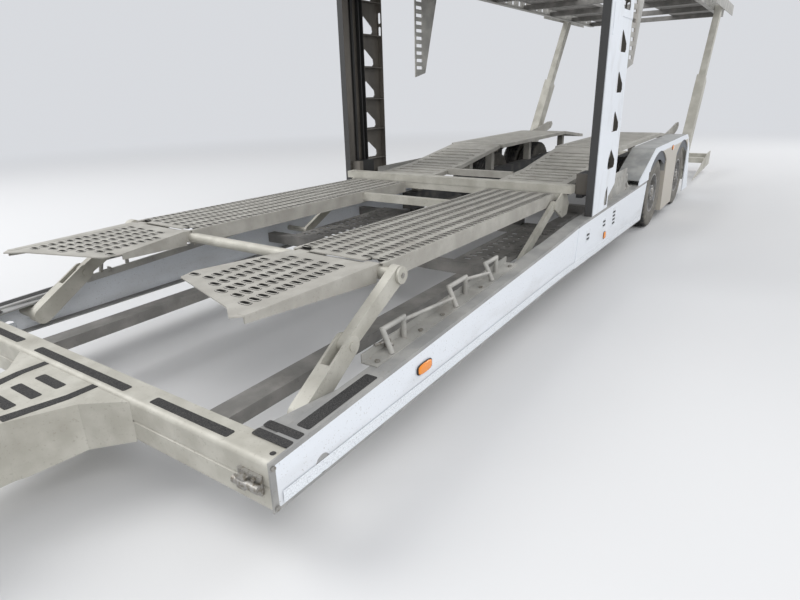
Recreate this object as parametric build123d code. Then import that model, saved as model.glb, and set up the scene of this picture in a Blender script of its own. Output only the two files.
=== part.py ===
import os
from math import hypot

from build123d import *

# A two-axle centre-axle trailer that carries cars on two levels.
# Lengths are millimetres. X points forward, Y to the left, Z up, and the ground is Z = 0.
# Stations along the trailer are counted from the front face of the front crossmember, so
# they are negative towards the rear; place() shifts them to the middle of the whole length.
# Stations across it are counted inwards from HALF_WIDTH, so the trailer widens as a whole.

# Overall sizes
WIDTH = 2550
HALF_WIDTH = WIDTH / 2
EYE_X = 1500
TAIL_REAR_X = -11500
RUNNING_GAP = 0.3
SWING_GAP = 6

# Side beams: upper and lower edge as (x, z) points
WEB = 8
FLANGE_WIDTH = 110
FLANGE_THICK = 10
LIP_WIDTH = 60
BEAM_TOP = [(0, 458), (-2790, 570), (-3330, 602), (-5650, 618)]
BEAM_BOTTOM = [(0, 252), (-1320, 254), (-2890, 258), (-5520, 201)]
BEAM_HOLE_X, BEAM_HOLE_Z, BEAM_HOLE_R = -256, 304, 40
COVER_FRONT_X = -3264
COVER_THICK = 4
COVER_DROP = 6
COVER_INSET = 30
FACE_Y = HALF_WIDTH - COVER_THICK
INNER_Y = FACE_Y - WEB

# Front crossmember and drawbar: plan as (x, half width), lower edge as (x, z)
CROSS_DEPTH = 120
CROSS_TOP = 458
CROSS_BOTTOM = 252
CROSS_ROUND = 22
GROOVE = 7
GUSSET_LENGTH = 530
GUSSET_INNER_Y = HALF_WIDTH - 200
DRAWBAR_TOP = 446
DRAWBAR_PLAN = [(0, 465), (124, 303), (367, 185), (1180, 90)]
DRAWBAR_UNDER = [(0, 256), (106, 233), (216, 208), (330, 184), (430, 182), (1180, 292)]
EYE_BORE_R = 25
EYE_OUTER_R = 62
EYE_THICK = 45
EYE_SHANK = 62
EYE_FLANGE = 24
EYE_Z = 365

# Parking jack
JACK_X = 760
JACK_TUBE = 90
JACK_INNER = 70
JACK_SPLIT = 190
JACK_FOOT = 220
JACK_FOOT_THICK = 12
JACK_TOP = 640
JACK_STANDOFF = 30
CRANK_R = 11

# Low frame: tubes, cross beams and slotted plates
LOW_TUBE_Y = HALF_WIDTH - 555
LOW_TUBE_WIDTH = 120
LOW_TUBE_BOTTOM = 285
LOW_TUBE_TOP = 350
LOW_TUBE_REAR_X = -5000
CROSS_BEAM = 80
CROSS_BEAM_X = [-2460, -3800, -4900]
LOW_PLATE_Y = (HALF_WIDTH - 665, HALF_WIDTH - 290)
LOW_PLATE_THICK = 8

# Spine and rear crossmember
SPINE_Y = HALF_WIDTH - 735
SPINE_WIDTH = 120
SPINE_BOTTOM = 500
SPINE_TOP = 660
SPINE_FRONT_X = -3620
CHASSIS_REAR_X = -8620
REAR_BEAM_Z = 330
REAR_BEAM_LENGTH = 110
STAND = 80

# Wheels and axles
AXLE_X = {"front": -6190, "rear": -7780}
TYRE_R = 397
TYRE_WIDTH = 233
TYRE_SIDES = 36
TWIN_PITCH = 262
TYRE_OUTER_Y = HALF_WIDTH - 25
RIM_R = 222
RIM_WALL = 12
DISC_THICK = 14
HUB_R = 88
DRUM_R = 150
AXLE_TUBE_R = 64
STUB_R = 40
ARM_WIDTH = 70
ARM_DEPTH = 60
HANGER_AHEAD = 500
SPRING_BEHIND = 380
SPRING_R = 115

# Wheel side panels: upper edge as (x, z) points from the side beam to the rear leg
PANEL_TOP = [(-5240, 615.3), (-5262, 668), (-5945, 930), (-8060, 930), (-8190, 872), (-8310, 786),
             (-8375, 703)]
PANEL_FRONT_LOW = (-5680, 618.4)
PANEL_THICK = 12
FENDER_WIDTH = 262
FENDER_SHEET = 8
OPENING_HALF = 450
OPENING_SPRING = 700
ARCH_R = 757
ARCH_TOP = 878
LIP_THICK = 6
LIP_DEPTH = 100
MIDDLE_LEG = (AXLE_X["front"] - OPENING_HALF, AXLE_X["rear"] + OPENING_HALF)
MIDDLE_LEG_FLANGE = 56
LEG_BOTTOM = 110
REAR_LEG_FOOT = -8700

# Masts: the holes' outline is (x, z) about a point on the row's line
MAST_FRONT_X = -3583
MAST_LENGTH = 635
MAST_DEPTH = 66
MAST_TOP = 3300
MAST_PLATE = 8
MAST_STRIP = 89
MAST_SLOT = 216
MAST_CUT = [(0, 790), (188, 700)]
HOLE_BEHIND = 398
HOLE_FIRST_Z = 717
HOLE_LAST_DROP = 159
HOLE_COUNT = 9
HOLE_SHAPE = [(0, 82), (50, 30), (66, -20), (66, -62), (50, -80), (-122, -80), (-144, -56), (-136, -14)]
DOUBLER_SET_BACK = 90
DOUBLER_LOW_Z = (1950, 2097)
DOUBLER_SLOPE = 232
MAST_OVALS = [(2132, 2226), (2254, 2356)]
OVAL_WIDTH = 30
GEARBOX_LENGTH = (30, 269)
GEARBOX_Z = (774, 936)
GEARBOX_DEPTH = 99
SCREW_R = 16
SCREW_BEHIND = 160
GUIDE_BEHIND = 255

# Front platform
TRACK_INNER_Y = HALF_WIDTH - 855
TRACK_OUTER_Y = HALF_WIDTH - 265
TRACK_SHEET = 6
TRACK_SIDE = 8
TRACK_FLANGE = 90
PLATFORM_TOP = 838
PLATFORM_SLOPE = 0.9
PLATFORM_FRONT_X = -1049
PLATFORM_REAR_X = -3411
PIVOT_X = -3320
PIVOT_Z = 723
PIVOT_PIN_R = 20
FRONT_TUBE_X = -1060
FRONT_TUBE_Z = 790
FRONT_TUBE_R = 30
FLAP_RING_R = 38
MID_TUBE_X = -2780
MID_TUBE = 60
MID_TUBE_DROP = 10
EAR_DROP = 34
SLOT_LENGTH, SLOT_WIDTH = 24, 57
SLOT_PITCH = 48
SLOT_ROWS = 6
SLOT_EDGE = 45

# Tube behind the platform
REAR_TUBE_FRONT_X = -3437
REAR_TUBE_LENGTH = 98
REAR_TUBE_DEPTH = 62
REAR_TUBE_TOP = 863
REAR_TUBE_HALF = HALF_WIDTH - 144
LOWER_TUBE = 58
BRACKET_HOLE = (-3409, 650)

# Flaps ahead of the platform: plan as (x, y) points from the root's inner corner
FLAP_OUTLINE = [(-1011, TRACK_INNER_Y + 21), (-1011, TRACK_OUTER_Y - 18), (-240, TRACK_OUTER_Y - 60),
                (-202, TRACK_OUTER_Y - 102), (-270, TRACK_OUTER_Y - 195), (-422, TRACK_INNER_Y - 98),
                (-516, TRACK_INNER_Y - 125)]
FLAP_TIP_DEPTH = 32
KNUCKLES = [(TRACK_INNER_Y + 30, TRACK_INNER_Y + 110), (TRACK_OUTER_Y - 110, TRACK_OUTER_Y - 30)]

# Folding arms
ARM_Y = HALF_WIDTH - 205
ARM_THICK = 46
UPPER_ARM_R = (46, 36)
KNEE = (-666, 581)
KNEE_EAR_R = 48
KNEE_EAR_THICK = 14
KNEE_PIN_OUT = 5
KNEE_WEB_START = 140
LOWER_BASE = (-368, 390)
LOWER_BASE_R = 50
BASE_PIN_R = 22
TUBE_CAP = 14
TUBE_CAP_RISE = 12

# Rear stays
STAY_BASE = (-2688, 428)
STAY_R = 34
STAY_Y_LOW, STAY_Y_HIGH = HALF_WIDTH - 255, HALF_WIDTH - 225

# Middle tracks and axle deck: upper surface as (x, z) points
MIDDLE_TRACK_Y = (HALF_WIDTH - 929, HALF_WIDTH - 302)
MIDDLE_TRACK_LINE = [(-3563, 808), (-4365, 848), (-5344, 975)]
MIDDLE_TRACK_STANDS = CROSS_BEAM_X[1:]
MIDDLE_TUBE_X = -4100
MIDDLE_TUBE = 60
MIDDLE_TUBE_RISE = 15
AXLE_DECK_LINE = [(-5360, 978), (-7590, 978), (-8440, 880)]
AXLE_DECK_STANDS = [-5480, -6680, -8050]
AXLE_DECK_INNER_Y = HALF_WIDTH - 962
AXLE_DECK_OUTER_Y = HALF_WIDTH - FENDER_WIDTH - 3
DECKING = 40
SLAT_PITCH = 130
SLAT_SLOT = 44
SLAT_MARGIN = 60
DECK_LUG = [(-7900, 940), (-8300, 985), (-8700, 1045), (-8880, 1045), (-8930, 1000), (-8860, 940),
            (-8440, 845), (-8250, 880)]
DECK_LUG_HOLE = (-8780, 1000, 20)
DECK_LUG_THICK = 14

# Upper deck
DECK_BOTTOM = 2660
DECK_FRONT_X = -1200
DECK_REAR_X = -11100
DECK_BEAM_DEPTH = 160
DECK_BEAM_OUTER_Y = HALF_WIDTH - 140
DECK_BEAM_WIDTH = 70
DECK_BEAM_WALL = 8
DECK_HOLE = 62
DECK_HOLE_PITCH = 230
DECK_TRACK_Y = (HALF_WIDTH - 955, HALF_WIDTH - 265)
DECK_TRACK_THICK = 42
DECK_TRACK_PITCH = 262
DECK_CROSS = 70
DECK_CROSS_COUNT = 10
DECK_CROSS_INSET = 60
DECK_CROSS_STEP = (DECK_FRONT_X - DECK_REAR_X - 2 * DECK_CROSS_INSET) / (DECK_CROSS_COUNT - 1)
DECK_CROSS_X = [DECK_FRONT_X - DECK_CROSS_INSET - i * DECK_CROSS_STEP for i in range(DECK_CROSS_COUNT)]
DECK_PIVOT_X = -3780
DECK_PIVOT_Z = 2740
DECK_PIVOT_R = 30
CARRIAGE_HALF = 110
CARRIAGE_PROUD = 24
END_PLATE_X = -8950
END_PLATE_THICK = 8
END_BRACKET = 60
HANGER = [(-4740, 2700), (-4740, 1740), (-4950, 1785), (-5250, 2700)]
HANGER_THICK = 10
HANGER_RUNGS = (1840, 2600, 76)
HANGER_SLOT = (120, 34)

# Rear posts
POST_BASE = (-8260, 330)
POST_EYE = (-9930, 2690)
POST_Y = HALF_WIDTH - 83
POST_OUTER = (190, 124)
POST_INNER = (130, 92)
POST_OUTER_LENGTH = 1640
POST_OVERLAP = 330
POST_FOOT_R = 50
POST_PIN_R = 25
POST_EYE_R = 46
POST_EAR = 16
POST_EAR_NOSE = 60
POST_HEAD = 14
POST_WALL = 9

# Tail frame
TAIL_FRONT_X = -9480
TAIL_BOTTOM = 80
TAIL_TOP = 380
TAIL_PLATE = 10
TAIL_HALF = HALF_WIDTH - 35
TAIL_TUBE_Y = HALF_WIDTH - 795
TAIL_TUBE = 70
TAIL_TUBE_Z = REAR_BEAM_Z - 10 - TAIL_TUBE / 2
TAIL_BAR = 90
TAIL_BAR_SPACING = 730
TAIL_SLIDE = 560
TAIL_SLEEVE = 420
LAMP_DEPTH = 30
LAMP_Y = (HALF_WIDTH - 415, HALF_WIDTH - 65)

# Rail racks: front and rear end, and the loops as (x, width, height)
RACK_Y_LOW, RACK_Y_HIGH = HALF_WIDTH - 157, HALF_WIDTH - 70
RACK_PLATE = 6
RACK_LIP = 44
RACKS = [
    (-703, -2232, [(-921, 170, 110), (-1535, 190, 105), (-1956, 150, 100)]),
    (-4970, -5226, [(-5038, 110, 110), (-5160, 110, 110)]),
]
LOOP_ROD_R = 13
LADDER_X = (-4040, -4960)
LADDER_Y = HALF_WIDTH - 83
LADDER_THICK = 8
LADDER_TOP = 830
LADDER_SLOT = (14, 90)
LADDER_PITCH = 62

# Side marker lamps as (x, z, half length, half height)
MARKERS = [(-977, 392, 62, 26), (-4016, 361, 32, 32), (-6965, 850, 50, 30)]
MARKER_PROUD = 12

FRONT_END_X = EYE_X + EYE_OUTER_R
MIDDLE_X = (FRONT_END_X + TAIL_REAR_X) / 2


def place(shape):
    """Shift a shape from stations behind the front face to the middle of the whole length."""
    return Pos(-MIDDLE_X, 0, 0) * shape


def xz_plate(points, y_low, y_high, holes=()):
    """Plate with holes, cut to outlines of (x, z) points and standing between two values of y."""
    outline = Plane.XZ.offset(-y_high) * sketch_of(points, holes)
    return extrude(outline, amount=y_high - y_low, dir=(0, -1, 0))


def xy_plate(points, z_low, z_high, holes=()):
    """Plate with holes, cut to outlines of (x, y) points and lying between two heights."""
    outline = Pos(0, 0, z_low) * sketch_of(points, holes)
    return extrude(outline, amount=z_high - z_low, dir=(0, 0, 1))


def sketch_of(points, holes):
    """Flat outline with other outlines cut from it."""
    outline = Polygon(*points, align=None)
    if holes:
        outline -= [Polygon(*hole, align=None) for hole in holes]
    return outline


def rectangle(x, y, length, width):
    """Corners of a rectangle about a centre."""
    return [(x - length / 2, y - width / 2), (x + length / 2, y - width / 2),
            (x + length / 2, y + width / 2), (x - length / 2, y + width / 2)]


def block(x_ends, y_ends, z_ends):
    """Box between a low and a high value along each axis."""
    (x0, x1), (y0, y1), (z0, z1) = sorted(x_ends), sorted(y_ends), sorted(z_ends)
    return Pos((x0 + x1) / 2, (y0 + y1) / 2, (z0 + z1) / 2) * Box(x1 - x0, y1 - y0, z1 - z0)


def cross_rod(x, z, radius, y_low, y_high):
    """Round bar along Y."""
    return Pos(x, (y_low + y_high) / 2, z) * Rot(90, 0, 0) * Cylinder(radius, y_high - y_low)


def mirrored(shape):
    """The same piece on the right side."""
    return mirror(shape, about=Plane.XZ)


def line_z(line, x):
    """Height at station x on a polyline of (x, z) points that runs towards the rear."""
    for (x0, z0), (x1, z1) in zip(line, line[1:]):
        if x1 <= x <= x0:
            return z0 + (z1 - z0) * (x0 - x) / (x0 - x1)
    return line[-1][1]


def line_part(line, x_front, x_rear):
    """The stretch of a polyline of (x, z) points between two stations."""
    between = [point for point in line if x_rear < point[0] < x_front]
    return [(x_front, line_z(line, x_front)), *between, (x_rear, line_z(line, x_rear))]


def strip(line, drop, thick):
    """Outline of a strip that hangs below a polyline of (x, z) points."""
    upper = [(x, z - drop) for x, z in line]
    lower = [(x, z - drop - thick) for x, z in reversed(line)]
    return upper + lower


def along(start, end, distance, side=0.0):
    """Point at a distance from start towards end in the XZ plane, moved sideways."""
    length = hypot(end[0] - start[0], end[1] - start[1])
    ux, uz = (end[0] - start[0]) / length, (end[1] - start[1]) / length
    return start[0] + ux * distance - uz * side, start[1] + uz * distance + ux * side


def link(start, end, r_start, r_end, y_low, y_high):
    """Flat link with round ends at two centres in the XZ plane."""
    length = hypot(end[0] - start[0], end[1] - start[1])
    shank = xz_plate([along(start, end, 0, r_start), along(start, end, length, r_end),
                      along(start, end, length, -r_end), along(start, end, 0, -r_start)],
                     y_low, y_high)
    ends = [cross_rod(*start, r_start, y_low, y_high), cross_rod(*end, r_end, y_low, y_high)]
    return shank + ends


def tube_between(start, end, from_distance, to_distance, section, y_mid, hollow=None):
    """Bar along a line in the XZ plane; its section and its hollow are (depth, width along Y)."""

    def bar(size, low, high):
        half, half_y = size[0] / 2, size[1] / 2
        return xz_plate([along(start, end, low, half), along(start, end, high, half),
                         along(start, end, high, -half), along(start, end, low, -half)],
                        y_mid - half_y, y_mid + half_y)

    tube = bar(section, from_distance, to_distance)
    return tube - bar(hollow, from_distance - 1, to_distance + 1) if hollow else tube


def grid(x_start, x_end, rows, pitch):
    """Places (x, y) in rows along X with the same stations in every row."""
    count = int((x_start - x_end) // pitch) + 1
    return [(x_start - step * pitch, y) for y in rows for step in range(count)]


def staggered(x_start, x_end, rows, pitch):
    """Places (x, y) in rows along X, every second row moved by half a pitch."""
    places = []
    for index, y in enumerate(rows):
        first = x_start - pitch / 2 * (index % 2)
        count = int((first - x_end) // pitch) + 1
        places += [(first - step * pitch, y) for step in range(count)]
    return places


def side_beam():
    """Left side beam: a painted web with a top flange, a lip, a lap plate and a corner gusset."""
    web = xz_plate(BEAM_TOP + BEAM_BOTTOM[::-1], INNER_Y, FACE_Y)
    flange = xz_plate(strip(BEAM_TOP, 0, FLANGE_THICK), HALF_WIDTH - FLANGE_WIDTH, INNER_Y)
    lip_line = line_part(BEAM_BOTTOM, 0, LOW_TUBE_REAR_X)
    lip = xz_plate(strip(lip_line, -FLANGE_THICK, FLANGE_THICK), HALF_WIDTH - LIP_WIDTH, INNER_Y)
    beam = web + flange + lip + side_cover()
    beam -= block((-CROSS_DEPTH, 1), (0, INNER_Y), (0, CROSS_TOP + FLANGE_THICK))
    beam += corner_gusset()
    return beam - cross_rod(BEAM_HOLE_X, BEAM_HOLE_Z, BEAM_HOLE_R, INNER_Y - 1, HALF_WIDTH)


def side_cover():
    """Outer plate that laps over the rear half of the painted web."""
    x_rear = BEAM_TOP[-1][0] + COVER_INSET
    top = [(x, z - COVER_DROP) for x, z in line_part(BEAM_TOP, COVER_FRONT_X, x_rear)]
    slant = 2 * COVER_INSET
    bottom_rear_x = BEAM_BOTTOM[-1][0] + COVER_INSET
    bottom = [(x, z + COVER_DROP) for x, z in line_part(BEAM_BOTTOM, COVER_FRONT_X + slant, bottom_rear_x)]
    return xz_plate(top + bottom[::-1], FACE_Y, HALF_WIDTH)


def corner_gusset():
    """Flat triangle in the corner behind the crossmember, level with the top flange."""
    y_flange = HALF_WIDTH - FLANGE_WIDTH
    rear = -CROSS_DEPTH - GUSSET_LENGTH
    points = [(-CROSS_DEPTH, GUSSET_INNER_Y), (-CROSS_DEPTH, y_flange + 1), (rear, y_flange + 1)]
    return xy_plate(points, CROSS_TOP - FLANGE_THICK, CROSS_TOP)


def front_crossmember():
    """Closed box with rounded upper and lower front edges and a crease along its face."""
    box = block((-CROSS_DEPTH, 0), (-INNER_Y, INNER_Y), (CROSS_BOTTOM, CROSS_TOP))
    front_edges = box.edges().filter_by(Axis.Y).group_by(Axis.X)[-1]
    box = fillet(front_edges, CROSS_ROUND)
    crease_z = (CROSS_BOTTOM + CROSS_TOP) / 2
    groove = [(1, crease_z - GROOVE), (1, crease_z + GROOVE), (1 - GROOVE, crease_z)]
    return box - xz_plate(groove, -INNER_Y - 1, INNER_Y + 1)


def drawbar():
    """Tapered box from the crossmember to the eye, with a curved lower edge at its root."""
    plan = DRAWBAR_PLAN + [(x, -y) for x, y in reversed(DRAWBAR_PLAN)]
    lowest = min(z for _, z in DRAWBAR_UNDER)
    body = xy_plate(plan, lowest - 1, DRAWBAR_TOP)
    nose_x = DRAWBAR_PLAN[-1][0]
    side = [(0, DRAWBAR_TOP), *DRAWBAR_UNDER, (nose_x, DRAWBAR_TOP)]
    return body & xz_plate(side, -HALF_WIDTH, HALF_WIDTH)


def towing_eye():
    """Forged ring with a shank that bolts to the nose of the drawbar."""
    nose_x = DRAWBAR_PLAN[-1][0]
    half = DRAWBAR_PLAN[-1][1] - 4
    ring = Pos(EYE_X, 0, EYE_Z) * Cylinder(EYE_OUTER_R, EYE_THICK)
    shank = Pos((nose_x + EYE_X) / 2, 0, EYE_Z) * Box(EYE_X - nose_x, EYE_SHANK, EYE_THICK)
    flange = block((nose_x, nose_x + EYE_FLANGE), (-half, half), (DRAWBAR_UNDER[-1][1] + 4, DRAWBAR_TOP - 4))
    bore = Pos(EYE_X, 0, EYE_Z) * Cylinder(EYE_BORE_R, EYE_THICK)
    return ring + shank + flange - bore


def parking_jack():
    """Square winding leg on the left side of the drawbar, standing on its foot plate."""
    half, half_inner, half_foot = JACK_TUBE / 2, JACK_INNER / 2, JACK_FOOT / 2
    y_mid = drawbar_half(JACK_X + half) + JACK_STANDOFF + half
    outer = block((JACK_X - half, JACK_X + half), (y_mid - half, y_mid + half), (JACK_SPLIT, JACK_TOP))
    inner = block((JACK_X - half_inner, JACK_X + half_inner), (y_mid - half_inner, y_mid + half_inner),
                  (JACK_FOOT_THICK, JACK_SPLIT))
    foot = block((JACK_X - half_foot, JACK_X + half_foot), (y_mid - half_foot, y_mid + half_foot),
                 (0, JACK_FOOT_THICK))
    x_front = JACK_X + half
    shaft = Pos(x_front + 50, y_mid, JACK_TOP - 70) * Rot(0, 90, 0) * Cylinder(CRANK_R, 100)
    crank = block((x_front + 90, x_front + 102), (y_mid - 12, y_mid + 12), (JACK_TOP - 250, JACK_TOP - 58))
    plan = [(JACK_X - 60, drawbar_half(JACK_X - 60)), (JACK_X + 60, drawbar_half(JACK_X + 60)),
            (JACK_X + 60, y_mid - half), (JACK_X - 60, y_mid - half)]
    return outer + inner + foot + shaft + crank + xy_plate(plan, DRAWBAR_TOP - 110, DRAWBAR_TOP - 10)


def drawbar_half(x):
    """Half width of the drawbar at station x."""
    return line_z([(-px, y) for px, y in DRAWBAR_PLAN], -x)


def low_frame():
    """Two low tubes under the platform, the cross beams on them, and two slotted plates."""
    frame = None
    half_tube = LOW_TUBE_WIDTH / 2
    for side in (1, -1):
        tube = block((-CROSS_DEPTH, LOW_TUBE_REAR_X),
                     (side * (LOW_TUBE_Y - half_tube), side * (LOW_TUBE_Y + half_tube)),
                     (LOW_TUBE_BOTTOM, LOW_TUBE_TOP))
        frame = tube if frame is None else frame + tube
        frame += low_plate() if side == 1 else mirrored(low_plate())
    for x in CROSS_BEAM_X:
        frame += block((x - CROSS_BEAM / 2, x + CROSS_BEAM / 2), (-INNER_Y, INNER_Y),
                       (LOW_TUBE_TOP, LOW_TUBE_TOP + CROSS_BEAM))
    return frame


def low_plate():
    """Left slotted plate that lies on the first two cross beams, under the platform's rear half."""
    x_front, x_rear = CROSS_BEAM_X[0] + CROSS_BEAM / 2, CROSS_BEAM_X[1] - CROSS_BEAM / 2
    y_low, y_high = LOW_PLATE_Y
    rows = [y_low + (y_high - y_low) * share for share in (0.2, 0.5, 0.8)]
    places = staggered(x_front - 130, x_rear + 130, rows, 2 * SLOT_PITCH)
    slots = [rectangle(x, y, 2 * SLOT_LENGTH, SLOT_WIDTH) for x, y in places]
    z = LOW_TUBE_TOP + CROSS_BEAM
    outline = [(x_front, y_low), (x_front, y_high), (x_rear, y_high), (x_rear, y_low)]
    return xy_plate(outline, z, z + LOW_PLATE_THICK, slots)


def spine_beams():
    """Two deep beams over the axles, with feet on the cross beams and hangers for the arms."""
    y_ends = (SPINE_Y - SPINE_WIDTH / 2, SPINE_Y + SPINE_WIDTH / 2)
    beam = block((SPINE_FRONT_X, CHASSIS_REAR_X), y_ends, (SPINE_BOTTOM, SPINE_TOP))
    for x in CROSS_BEAM_X[1:]:
        beam += block((x - CROSS_BEAM / 2, x + CROSS_BEAM / 2), y_ends,
                      (LOW_TUBE_TOP + CROSS_BEAM, SPINE_BOTTOM))
    for x in AXLE_X.values():
        hanger_x = x + HANGER_AHEAD
        beam += block((hanger_x - 60, hanger_x + 60), y_ends, (TYRE_R + ARM_DEPTH / 2, SPINE_BOTTOM))
    return Compound(children=[beam, mirrored(beam)])


def rear_crossmember():
    """Beam across the end of the chassis, with sleeves for the guard and brackets for the posts."""
    ear_high = POST_Y - POST_OUTER[1] / 2 - SWING_GAP
    ear_low = ear_high - POST_EAR
    beam = block((CHASSIS_REAR_X, CHASSIS_REAR_X + REAR_BEAM_LENGTH), (-ear_low - 2, ear_low + 2),
                 (REAR_BEAM_Z, SPINE_BOTTOM))
    nose_x = POST_BASE[0] + POST_EAR_NOSE
    ear = xz_plate([(CHASSIS_REAR_X, SPINE_BOTTOM), (CHASSIS_REAR_X + 2 * REAR_BEAM_LENGTH, SPINE_BOTTOM),
                    (nose_x, POST_BASE[1] + 70), (nose_x, POST_BASE[1] - 60), (CHASSIS_REAR_X, REAR_BEAM_Z - 40)],
                   ear_low, ear_high)
    ear += cross_rod(*POST_BASE, POST_PIN_R, ear_low, POST_Y + POST_OUTER[1] / 2 + 2)
    return beam + [ear, mirrored(ear), tail_sleeve(1), tail_sleeve(-1)]


def tail_sleeve(side):
    """Sleeve under the rear crossmember in which one of the guard's tubes slides."""
    half = TAIL_TUBE / 2 + 10
    outer = block((CHASSIS_REAR_X, CHASSIS_REAR_X + TAIL_SLEEVE),
                  (side * TAIL_TUBE_Y - half, side * TAIL_TUBE_Y + half), (TAIL_TUBE_Z - half, REAR_BEAM_Z))
    hole = TAIL_TUBE / 2 + RUNNING_GAP
    return outer - block((CHASSIS_REAR_X - 1, CHASSIS_REAR_X + TAIL_SLEEVE + 1),
                         (side * TAIL_TUBE_Y - hole, side * TAIL_TUBE_Y + hole),
                         (TAIL_TUBE_Z - hole, TAIL_TUBE_Z + hole))


def side_panel():
    """Painted panel beside the wheels, with two openings, legs, black lips and the fender sheet."""
    y_in, y_out = HALF_WIDTH - PANEL_THICK, HALF_WIDTH
    legs = [(REAR_LEG_FOOT, LEG_BOTTOM), (AXLE_X["rear"] - OPENING_HALF, LEG_BOTTOM),
            (AXLE_X["rear"] - OPENING_HALF, OPENING_SPRING), (MIDDLE_LEG[1], OPENING_SPRING),
            (MIDDLE_LEG[1], LEG_BOTTOM), (MIDDLE_LEG[0], LEG_BOTTOM), (MIDDLE_LEG[0], OPENING_SPRING),
            (PANEL_FRONT_LOW[0], OPENING_SPRING), PANEL_FRONT_LOW]
    panel = xz_plate(PANEL_TOP + legs, y_in, y_out)
    panel -= [wheel_opening(x, y_in, y_out) for x in AXLE_X.values()]
    sheet = xz_plate(strip(PANEL_TOP[1:5], 0, FENDER_SHEET), y_out - FENDER_WIDTH, y_in)
    flange_z = (LEG_BOTTOM, OPENING_SPRING + 2 * LIP_THICK)
    flanges = [block((x, x - toward * PANEL_THICK), (y_in - MIDDLE_LEG_FLANGE, y_in), flange_z)
               for x, toward in zip(MIDDLE_LEG, (1, -1))]
    return panel + [sheet, *flanges, *(arch_lip(x, y_in) for x in AXLE_X.values())]


def wheel_opening(x, y_low, y_high):
    """Cutter for a wheel opening: straight sides under a flat arch."""
    ends = (x - OPENING_HALF, x + OPENING_HALF)
    arch = cross_rod(x, ARCH_TOP - ARCH_R, ARCH_R, y_low, y_high)
    return arch & block(ends, (y_low, y_high), (OPENING_SPRING - 1, ARCH_TOP))


def arch_lip(x, y_in):
    """Rubber lip behind the edge of one arch, hanging a little way over the tyre."""
    z = ARCH_TOP - ARCH_R
    ring = cross_rod(x, z, ARCH_R + LIP_THICK, y_in - LIP_THICK, y_in)
    ring -= cross_rod(x, z, ARCH_R - LIP_DEPTH, y_in - LIP_THICK, y_in)
    reach = OPENING_HALF + LIP_THICK
    return ring & block((x - reach, x + reach), (0, HALF_WIDTH), (OPENING_SPRING, ARCH_TOP + LIP_THICK))


def mast():
    """Left mast: a holed side plate, a web and flanges, ribs below the holes and an open slot."""
    y_in, y_skin = HALF_WIDTH - MAST_DEPTH, FACE_Y - MAST_PLATE
    rear_x = MAST_FRONT_X - MAST_LENGTH
    slot_x = MAST_FRONT_X - MAST_STRIP
    web_x = slot_x - MAST_SLOT
    cut = [(rear_x + ahead, z) for ahead, z in MAST_CUT]
    side = [(MAST_FRONT_X, 0), (MAST_FRONT_X, MAST_TOP), (rear_x, MAST_TOP), *cut, (cut[-1][0], 0)]
    doubler = [(MAST_FRONT_X - DOUBLER_SET_BACK, DOUBLER_LOW_Z[0]),
               (MAST_FRONT_X - DOUBLER_SET_BACK, MAST_TOP), (rear_x, MAST_TOP), (rear_x, DOUBLER_LOW_Z[1]),
               (MAST_FRONT_X - DOUBLER_SET_BACK - DOUBLER_SLOPE, DOUBLER_LOW_Z[1])]
    pitch = (MAST_TOP - HOLE_LAST_DROP - HOLE_FIRST_Z) / (HOLE_COUNT - 1)
    heights = [HOLE_FIRST_Z + index * pitch for index in range(HOLE_COUNT)]
    holes = [mast_hole(z, cut[-1][0] + 30 if z < MAST_CUT[0][1] else rear_x) for z in heights]
    column = xz_plate(side, y_skin, FACE_Y, holes) + xz_plate(doubler, FACE_Y, HALF_WIDTH, holes[3:])
    lowest_rib = min(z for _, z in HOLE_SHAPE) - 12
    pieces = [
        ((MAST_FRONT_X - MAST_PLATE, MAST_FRONT_X), (y_in, y_skin), (0, MAST_TOP)),
        ((slot_x, MAST_FRONT_X - MAST_PLATE), (y_in, y_in + MAST_PLATE), (0, MAST_TOP)),
        ((web_x - MAST_PLATE, web_x), (y_in, y_skin), (0, MAST_TOP)),
        ((rear_x, rear_x + MAST_PLATE), (y_in, y_skin), (MAST_CUT[0][1], MAST_TOP)),
        ((rear_x, MAST_FRONT_X), (y_in, y_skin), (MAST_TOP - MAST_PLATE, MAST_TOP)),
    ]
    for z in heights[1:]:
        pieces.append(((rear_x, web_x), (y_in + 4, y_skin), (z + lowest_rib - MAST_PLATE, z + lowest_rib)))
    column += [block(*ends) for ends in pieces]
    column -= [mast_oval(rear_x, z_low, z_high) for z_low, z_high in MAST_OVALS]
    column += mast_drive()
    return column - xz_plate(BEAM_TOP + [(BEAM_TOP[-1][0], -1), (0, -1)], 0, HALF_WIDTH)


def mast_hole(z, x_limit):
    """Outline of one pin hole, kept ahead of a station."""
    x = MAST_FRONT_X - HOLE_BEHIND
    return [(max(x + dx, x_limit), z + dz) for dx, dz in HOLE_SHAPE]


def mast_oval(x, z_low, z_high):
    """Cutter for an upright oval through the rear flange."""
    y = (HALF_WIDTH - MAST_DEPTH + FACE_Y - MAST_PLATE) / 2
    radius = OVAL_WIDTH / 2
    depth = 2 * MAST_PLATE
    ends = [Pos(x, y, z) * Rot(0, 90, 0) * Cylinder(radius, depth) for z in (z_low + radius, z_high - radius)]
    return Pos(x, y, (z_low + z_high) / 2) * Box(depth, OVAL_WIDTH, z_high - z_low - OVAL_WIDTH) + ends


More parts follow.
